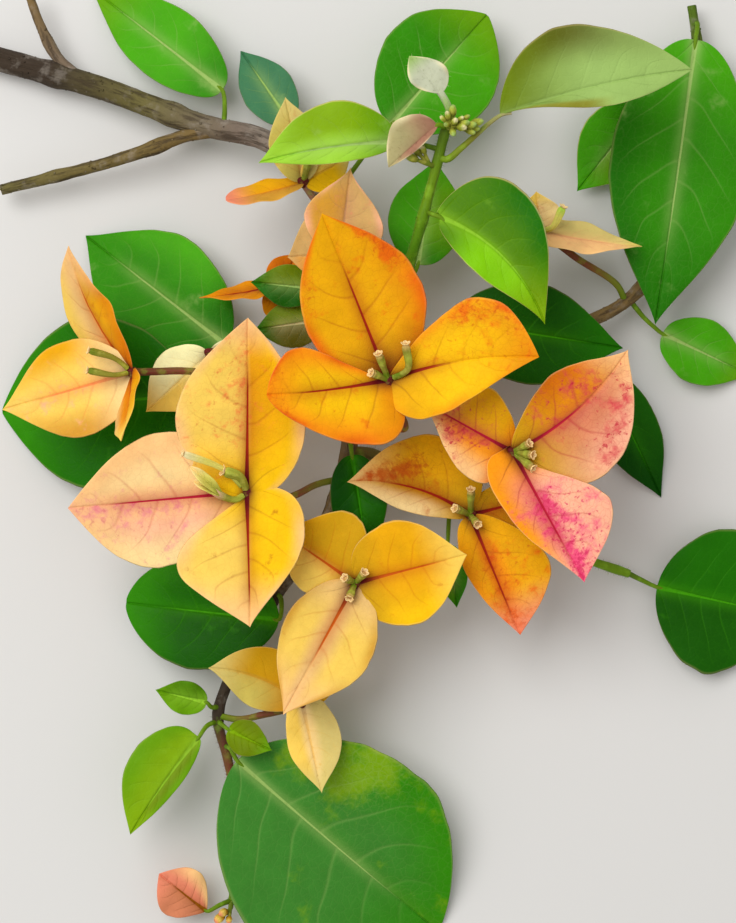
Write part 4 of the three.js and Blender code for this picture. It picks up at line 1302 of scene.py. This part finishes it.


# Leaves in the leaf_dark slot lie in shade under and behind the blooms; their dark greens are partly their
# own colour and partly painted shade
leaves = [
    dict(
        node="leaf_top_left", slot="leaf_young", parent="shoot_upper", seed=1.3, petiole=[(9.5, 57, 27)],
        base=(5, 57.5, 27), tip=(-19.8, 53.7, 26), width=11.2, skew=0.45, bow=0.03,
        tones="left lime, right spring, centre lime, base grass, tip lime",
    ),
    # The left half of this leaf, beyond its fold, is painted shade: darker than the right half and darkest
    # at its far rim
    dict(
        node="leaf_top_right", slot="leaf_young", parent="shoot_upper", seed=2.9,
        petiole=[(12, 44.4, 26.4)], base=(13, 44, 26.8), tip=(31.9, 24.6, 29.5), width=17.2, skew=-0.36,
        bow=-0.11, widest=0.36, shiftWidest=0.07, lobes=(0.04, 0), bases=(1.3, 0.55), point=0.66,
        grid=(56, 64), tones="left fern, farLeft pine, right fresh, base fern, tip spring, vein lime",
        rib=0.7,
    ),
    dict(
        node="leaf_top_far_right", slot="leaf_olive", parent="shoot_upper", seed=4.2,
        petiole=[(14.2, 54.4, 27.6), (17.2, 56.8, 28.4)], petioleColours=["shoot", "tubeOlive", "tan"],
        petioleGirths=(0.7, 0.3), base=(23.8, 62.3, 29.2), tip=(58.3, 70.5, 32), width=15.8, skew=-0.48,
        bow=-0.03, veinDepth=0.12, widest=0.5, shiftWidest=0.1, bases=(0.95, 1.4), point=0.35,
        grid=(52, 60), tones="left sage, farLeft brownGreen, base moss, tip sage, heel tubeOlive",
        baseTo=0.55, tipFrom=0.3, rib=0.4,
    ),
    dict(
        node="leaf_bud_white", slot="leaf_bud", parent="shoot_upper", seed=5.5, petiole=[(14.8, 62.6, 29)],
        petioleColours=["shoot", "sage", "silver"], petioleGirths=(0.75, 0.65), base=(13.2, 66.2, 30.4),
        tip=(7.4, 73, 32), width=6.9, skew=0.1, fold=0.3, widest=0.47, shiftWidest=-0.09, point=0.45,
        bases=(0.75, 0.8), crinkle=0.2, veinDepth=0.04, downy=True,
        tones="left silver, tip sage, rim tubeCream, vein silver",
    ),
    dict(
        node="leaf_bud_tan", slot="leaf_bud", parent="shoot_upper", seed=6.1, petiole=[(13.4, 60.4, 29.6)],
        base=(12.5, 60.6, 30.4), tip=(3.7, 52.9, 30.4), width=6.8, fold=0.4, skew=0.66, widest=0.45,
        point=0.35, veinDepth=0.06, petioleGirths=(0.6, 0.4), downy=True,
        tones="left rosewood, right tan, base rosewood, tip tan, rim tubeCream, vein rosewood", baseTo=0.6,
    ),
    dict(
        node="leaf_lime_big", slot="leaf_lime", seed=7.7, petiole=[(-29, -47.6, 9.6)],
        base=(-30.4, -49.6, 10.8), tip=(-42.8, -67.2, 14), width=10.8, skew=0.5, bow=0.02, bases=(0.6, 0.4),
        point=0.45, tones="left moss, farLeft grass, right spring, farRight grass, tip spring, vein lime",
        rib=0.6,
    ),
    dict(
        node="leaf_lime_small", slot="leaf_lime", seed=8.3, petiole=[(-28.2, -44.2, 9.8)],
        base=(-29, -43.4, 11.2), tip=(-38.3, -41.1, 13), width=6.4,
        tones="left grass, right fern, tip grass, vein lime",
    ),
    dict(
        node="leaf_olive_small", slot="leaf_olive", seed=9.9, petiole=[(-26.2, -47.4, 10.2)],
        base=(-25.2, -48.2, 12.2), tip=(-17.3, -52, 14.6), width=6.8,
        tones="left moss, tip grass, vein spring",
    ),
    dict(
        node="leaf_big_bottom", slot="leaf_mature", seed=10.4, petiole=[(-24.8, -51.6, 8.4)],
        base=(-23.6, -53.8, 9), tip=(12.6, -84.6, 1), width=43, skew=0.04, widest=0.5, cup=0.08, point=0.2,
        rests=True, grid=(72, 84), ribWidth=0.46,
        tones="left jade, farLeft leaf, base jade, tip leaf, blotch spring", blotches=(0.2, 0),
        patches=[(-0.75, 0.2, 0.8), (-0.6, 0.32, 0.7), (-0.85, 0.42, 0.6)],
    ),
    dict(
        node="leaf_dark_left", slot="leaf_dark", seed=11.8, petiole=[(-15.6, -25, 11.2)],
        base=(-16, -28.5, 11.6), tip=(-43.6, -25.4, 5), width=22, widest=0.5, point=0.05,
        tones="left forest, right pine, farRight leaf, tip leaf, vein meadow",
    ),
    dict(
        node="leaf_dark_upper", slot="leaf_dark", seed=12.5, petiole=[(-5.4, 29.6, 14.2)],
        base=(-9, 31, 14.8), tip=(-21.2, 32.3, 15), width=8, tones="left forest, right moss, tip pine",
    ),
    dict(
        node="leaf_dark_lower", slot="leaf_dark", seed=13.6, petiole=[(-5.2, 25.4, 13)],
        base=(-8.3, 25.4, 13.2), tip=(-20.5, 23.7, 13), width=9,
        tones="left brownGreen, right moss, tip forest, vein tan",
    ),
    dict(
        node="leaf_back_left", slot="leaf_mature", parent="shoot_left", seed=14.7,
        petiole=[(-23.4, 18, 11.4)], base=(-25.6, 21, 8.4), tip=(-51, 40.8, 1), width=23, widest=0.45,
        rests=True, grid=(56, 72), tones="left leaf, farRight meadow, base pine, tip leaf",
    ),
    dict(
        node="leaf_back_far_left", slot="leaf_dark", parent="shoot_left", seed=15.2,
        petiole=[(-27.6, 13.4, 11)], base=(-32, 12, 9), tip=(-66, 9, 1), width=33, widest=0.47, point=0.3,
        rests=True, grid=(64, 72), tones="left pine, right forest, farRight pine, tip leaf, vein meadow",
    ),
    dict(
        node="leaf_back_top", slot="leaf_mature", seed=16.9, petiole=[(-4.4, 50.4, 11.2), (0, 56, 11.6)],
        base=(4, 60.5, 11.8), tip=(21.5, 80.4, 7), width=23, widest=0.48, point=0.25, grid=(56, 64),
        tones="left leaf, right meadow, base leaf, tip grass",
    ),
    dict(
        node="leaf_back_top_left", slot="leaf_mature", seed=17.4, petiole=[(-25.8, 63.4, 9)],
        base=(-26.2, 66.8, 9), tip=(-50, 85.4, 2), width=14, skew=0.06, rests=True,
        tones="left meadow, base leaf, tip grass",
    ),
    dict(
        node="leaf_back_blue", slot="leaf_dark", seed=18.8, petiole=[(-14.4, 58, 9.8)], base=(-14, 61, 9),
        tip=(-23, 74, 4), width=10, tones="left blueGreen",
    ),
    dict(
        node="leaf_right_huge", slot="leaf_mature", parent="shoot_right", seed=19.6,
        petiole=[(59.3, 78.8, 5.4)], base=(59, 76, 7), tip=(51.7, 24.6, 11.5), width=26, widest=0.45,
        cup=-0.1, arch=0.03, grid=(60, 84), pairs=7,
        tones="left leaf, farRight pine, base meadow, tip pine",
    ),
    dict(
        node="leaf_right_light", slot="leaf_young", parent="shoot_right", seed=20.3,
        petiole=[(55, 63, 4.6)], base=(50, 64, 5), tip=(37.6, 48.6, 4), width=14,
        tones="left grass, right meadow, base leaf, tip meadow",
    ),
    dict(
        node="leaf_right_dark", slot="leaf_dark", parent="shoot_right", seed=21.7, petiole=[(37, 21, 6.8)],
        base=(42, 16, 5.4), tip=(52.9, -6.6, 1), width=11.5, rests=True,
        tones="left forest, right deep, tip deep, vein leaf",
    ),
    dict(
        node="leaf_right_edge", slot="leaf_mature", parent="shoot_right", seed=22.1,
        petiole=[(49.6, 26, 5.8)], base=(53, 23, 4.6), tip=(69, 15.4, 1), width=12.5, rests=True,
        tones="left meadow, tip grass",
    ),
    dict(
        node="leaf_right_round", slot="leaf_mature", parent="shoot_lower_right", seed=23.4,
        petiole=[(49, -21.2, 4)], base=(52, -22.6, 3.8), tip=(74.5, -27.6, 1), width=28, widest=0.48,
        point=0.3, rests=True, grid=(60, 56), tones="left pine, right forest, tip pine, vein meadow",
    ),
    dict(
        node="leaf_behind_orange", slot="leaf_dark", parent="shoot_right", seed=24.8,
        petiole=[(12, 23.4, 12)], base=(15.7, 25, 12.6), tip=(46, 20.4, 11.6), width=19,
        tones="left forest, tip pine, vein meadow",
    ),
    dict(
        node="leaf_dark_middle", slot="leaf_dark", seed=25.5, petiole=[(-3.2, 3.6, 14)],
        base=(-2.9, 1.2, 14.8), tip=(0, -17.7, 14.6), width=10.5,
        tones="left forest, right deep, tip forest, vein leaf",
    ),
    dict(
        node="leaf_sliver", slot="leaf_mature", parent="shoot_lower_right", seed=26.2,
        petiole=[(14.8, -8.4, 9.6)], base=(14.4, -15, 9.6), tip=(16, -26.4, 10), width=6,
        tones="left leaf, right grass, tip leaf",
    ),
    dict(
        node="leaf_behind_shoot", slot="leaf_mature", parent="shoot_upper", seed=27.9,
        petiole=[(7, 31.6, 15.6)], base=(9, 35.4, 13), tip=(12.2, 54.3, 9.5), width=14,
        tones="left meadow, right grass, base leaf, tip meadow",
    ),
    dict(
        node="leaf_bottom_red", slot="leaf_red", seed=28.6, petiole=[(-26.6, -79.8, 4.4)],
        base=(-29, -81, 5.2), tip=(-37.6, -74.2, 7), width=10.4, widest=0.53, point=0.35,
        bases=(0.85, 0.85), tones="left terracotta, right salmon, farRight apricot, tip salmon, vein rust",
    ),
]
for leaf in leaves:
    makeLeaf(leaf)
finishPiece(joinMeshes("stalksAndPetioles", petioles))
print("leaves made")


# Buds: small eggs on forked stalks

budShape = {
    "stalkGirths": (0.5, 0.3), "stalkColours": ["shootDark", "tubeOlive"], "downHeight": 0.25 * mm,
    "sizes": (0.82, 0.94, 1.06, 1.18), "sizeStep": 7, "colours": ["shootDark", "tubeOlive", "tubeGreen"],
}
budStalkRelief = {**stalkRelief, "material": materials["bud"]}
budRelief = {
    "sides": 18, "ribs": 5.0, "ribDepth": 0.07, "lumpDepth": 0.05 * mm, "lumpScale": 900.0,
    "material": materials["bud"],
}
budClusters = [
    dict(
        node="buds_top", parent="shoot_upper", root=(15, 60.4, 30), girth=0.56, length=1.05,
        buds=[
            (16.6, 61.6, 31.2), (18.4, 60.6, 31.4), (15.3, 59.3, 31.4), (14.4, 62.2, 31),
            (17.6, 61.9, 30.6), (19.6, 61.1, 30.8), (15.6, 61.2, 32), (18.4, 59.4, 30.8),
            (14.2, 60.6, 31.4), (16.8, 60.2, 31.8), (17.4, 60.9, 32), (19.2, 60, 30.4), (13.6, 61.6, 30.2),
            (15.2, 63, 30.4),
        ],
    ),
    dict(
        node="buds_side", parent="shoot_upper", root=(11.2, 53.4, 27.6), girth=0.62, length=1.1,
        buds=[(10, 56, 28.8), (8, 54.6, 28.8), (8.8, 55.8, 28.2)],
    ),
    dict(
        node="buds_bottom", parent="axis", root=(-24.8, -80.6, 4), girth=0.7, length=1,
        colours=["shootDark", "ochre", "butter", "salmon"],
        buds=[(-25, -82.4, 4.6), (-26.7, -82.2, 4.8), (-26, -81.2, 5)],
    ),
]
budSizes = budShape["sizes"]
for cluster in budClusters:
    root = seen(cluster["root"])
    foot = stems[cluster["parent"]].nearest(root)
    meshes = []
    for count, place in enumerate(cluster["buds"]):
        end = seen(place)
        stalk = Path([foot, root, end])
        girthAt = between(*budShape["stalkGirths"])
        meshes.append(limbMesh(stalk, budStalkRelief, girthAt, budShape["stalkColours"], spacing=0.3))
        size = budSizes[count * budShape["sizeStep"] % len(budSizes)]
        reach = stalk.ahead(1) * cluster["length"] * size
        way = Path([end - reach, end + reach])
        relief = {**budRelief, "seed": count * 0.3}
        plain = [*budShape["colours"], "sage" if count % 3 else "tubeCream"]
        colours = cluster.get("colours", plain)
        bud = limbMesh(way, relief, egg(cluster["girth"] * size, 0.01), colours, spacing=0.12)
        hairs = dress(bud, {**down, "height": budShape["downHeight"], "seed": count})
        meshes.extend([bud, hairs])
    finishPiece(joinMeshes(camelName(cluster["node"]), meshes), cluster["node"])
print("buds made")


# Floor, light and camera

stage = {
    "floorSize": 3.0,
    "floorColour": (0.72, 0.71, 0.69, 1),
    "floorRoughness": 0.85,
    "keyPlace": (-0.35, 0.3, 0.75),
    "keySize": 0.7,
    "keyPower": 5.5,
    "skyColour": (1.0, 0.985, 0.96, 1),
    "skyStrength": 0.54,
}


def makeStage():
    half = stage["floorSize"] / 2
    mesh = bpy.data.meshes.new("floor")
    corners = [(-half, -half, 0), (half, -half, 0), (half, half, 0), (-half, half, 0)]
    mesh.from_pydata(corners, [], [(0, 1, 2, 3)])
    material = bpy.data.materials.new("floor")
    material.use_nodes = True
    shader = material.node_tree.nodes["Principled BSDF"]
    shader.inputs["Base Color"].default_value = stage["floorColour"]
    shader.inputs["Roughness"].default_value = stage["floorRoughness"]
    mesh.materials.append(material)
    newObject("floor", mesh)
    lamp = bpy.data.lights.new("softLight", "AREA")
    lamp.shape = "DISK"
    lamp.size = stage["keySize"]
    lamp.energy = stage["keyPower"]
    softLight = newObject("softLight", lamp)
    softLight.location = stage["keyPlace"]
    softLight.rotation_euler = (-softLight.location).to_track_quat("-Z", "Y").to_euler()
    sky = bpy.data.worlds.new("sky")
    sky.use_nodes = True
    background = sky.node_tree.nodes["Background"]
    background.inputs["Color"].default_value = stage["skyColour"]
    background.inputs["Strength"].default_value = stage["skyStrength"]
    scene.world = sky
    scene.view_settings.view_transform = "Standard"


def makeCamera():
    # The eye looks straight down; the bloom plane fills the frame at the layout's scale
    lens = bpy.data.cameras.new("eye")
    lens.sensor_fit = "VERTICAL"
    height = layout["photoHeight"] * layout["photoPixel"]
    distance = layout["eyeHeight"] - layout["bloomPlane"]
    lens.angle = 2 * math.atan(height / 2 / distance)
    eye = newObject("eye", lens)
    eye.location = (shift + Vector((0, 0, layout["eyeHeight"]))) * mm
    scene.camera = eye


makeStage()
makeCamera()
print("stage made")
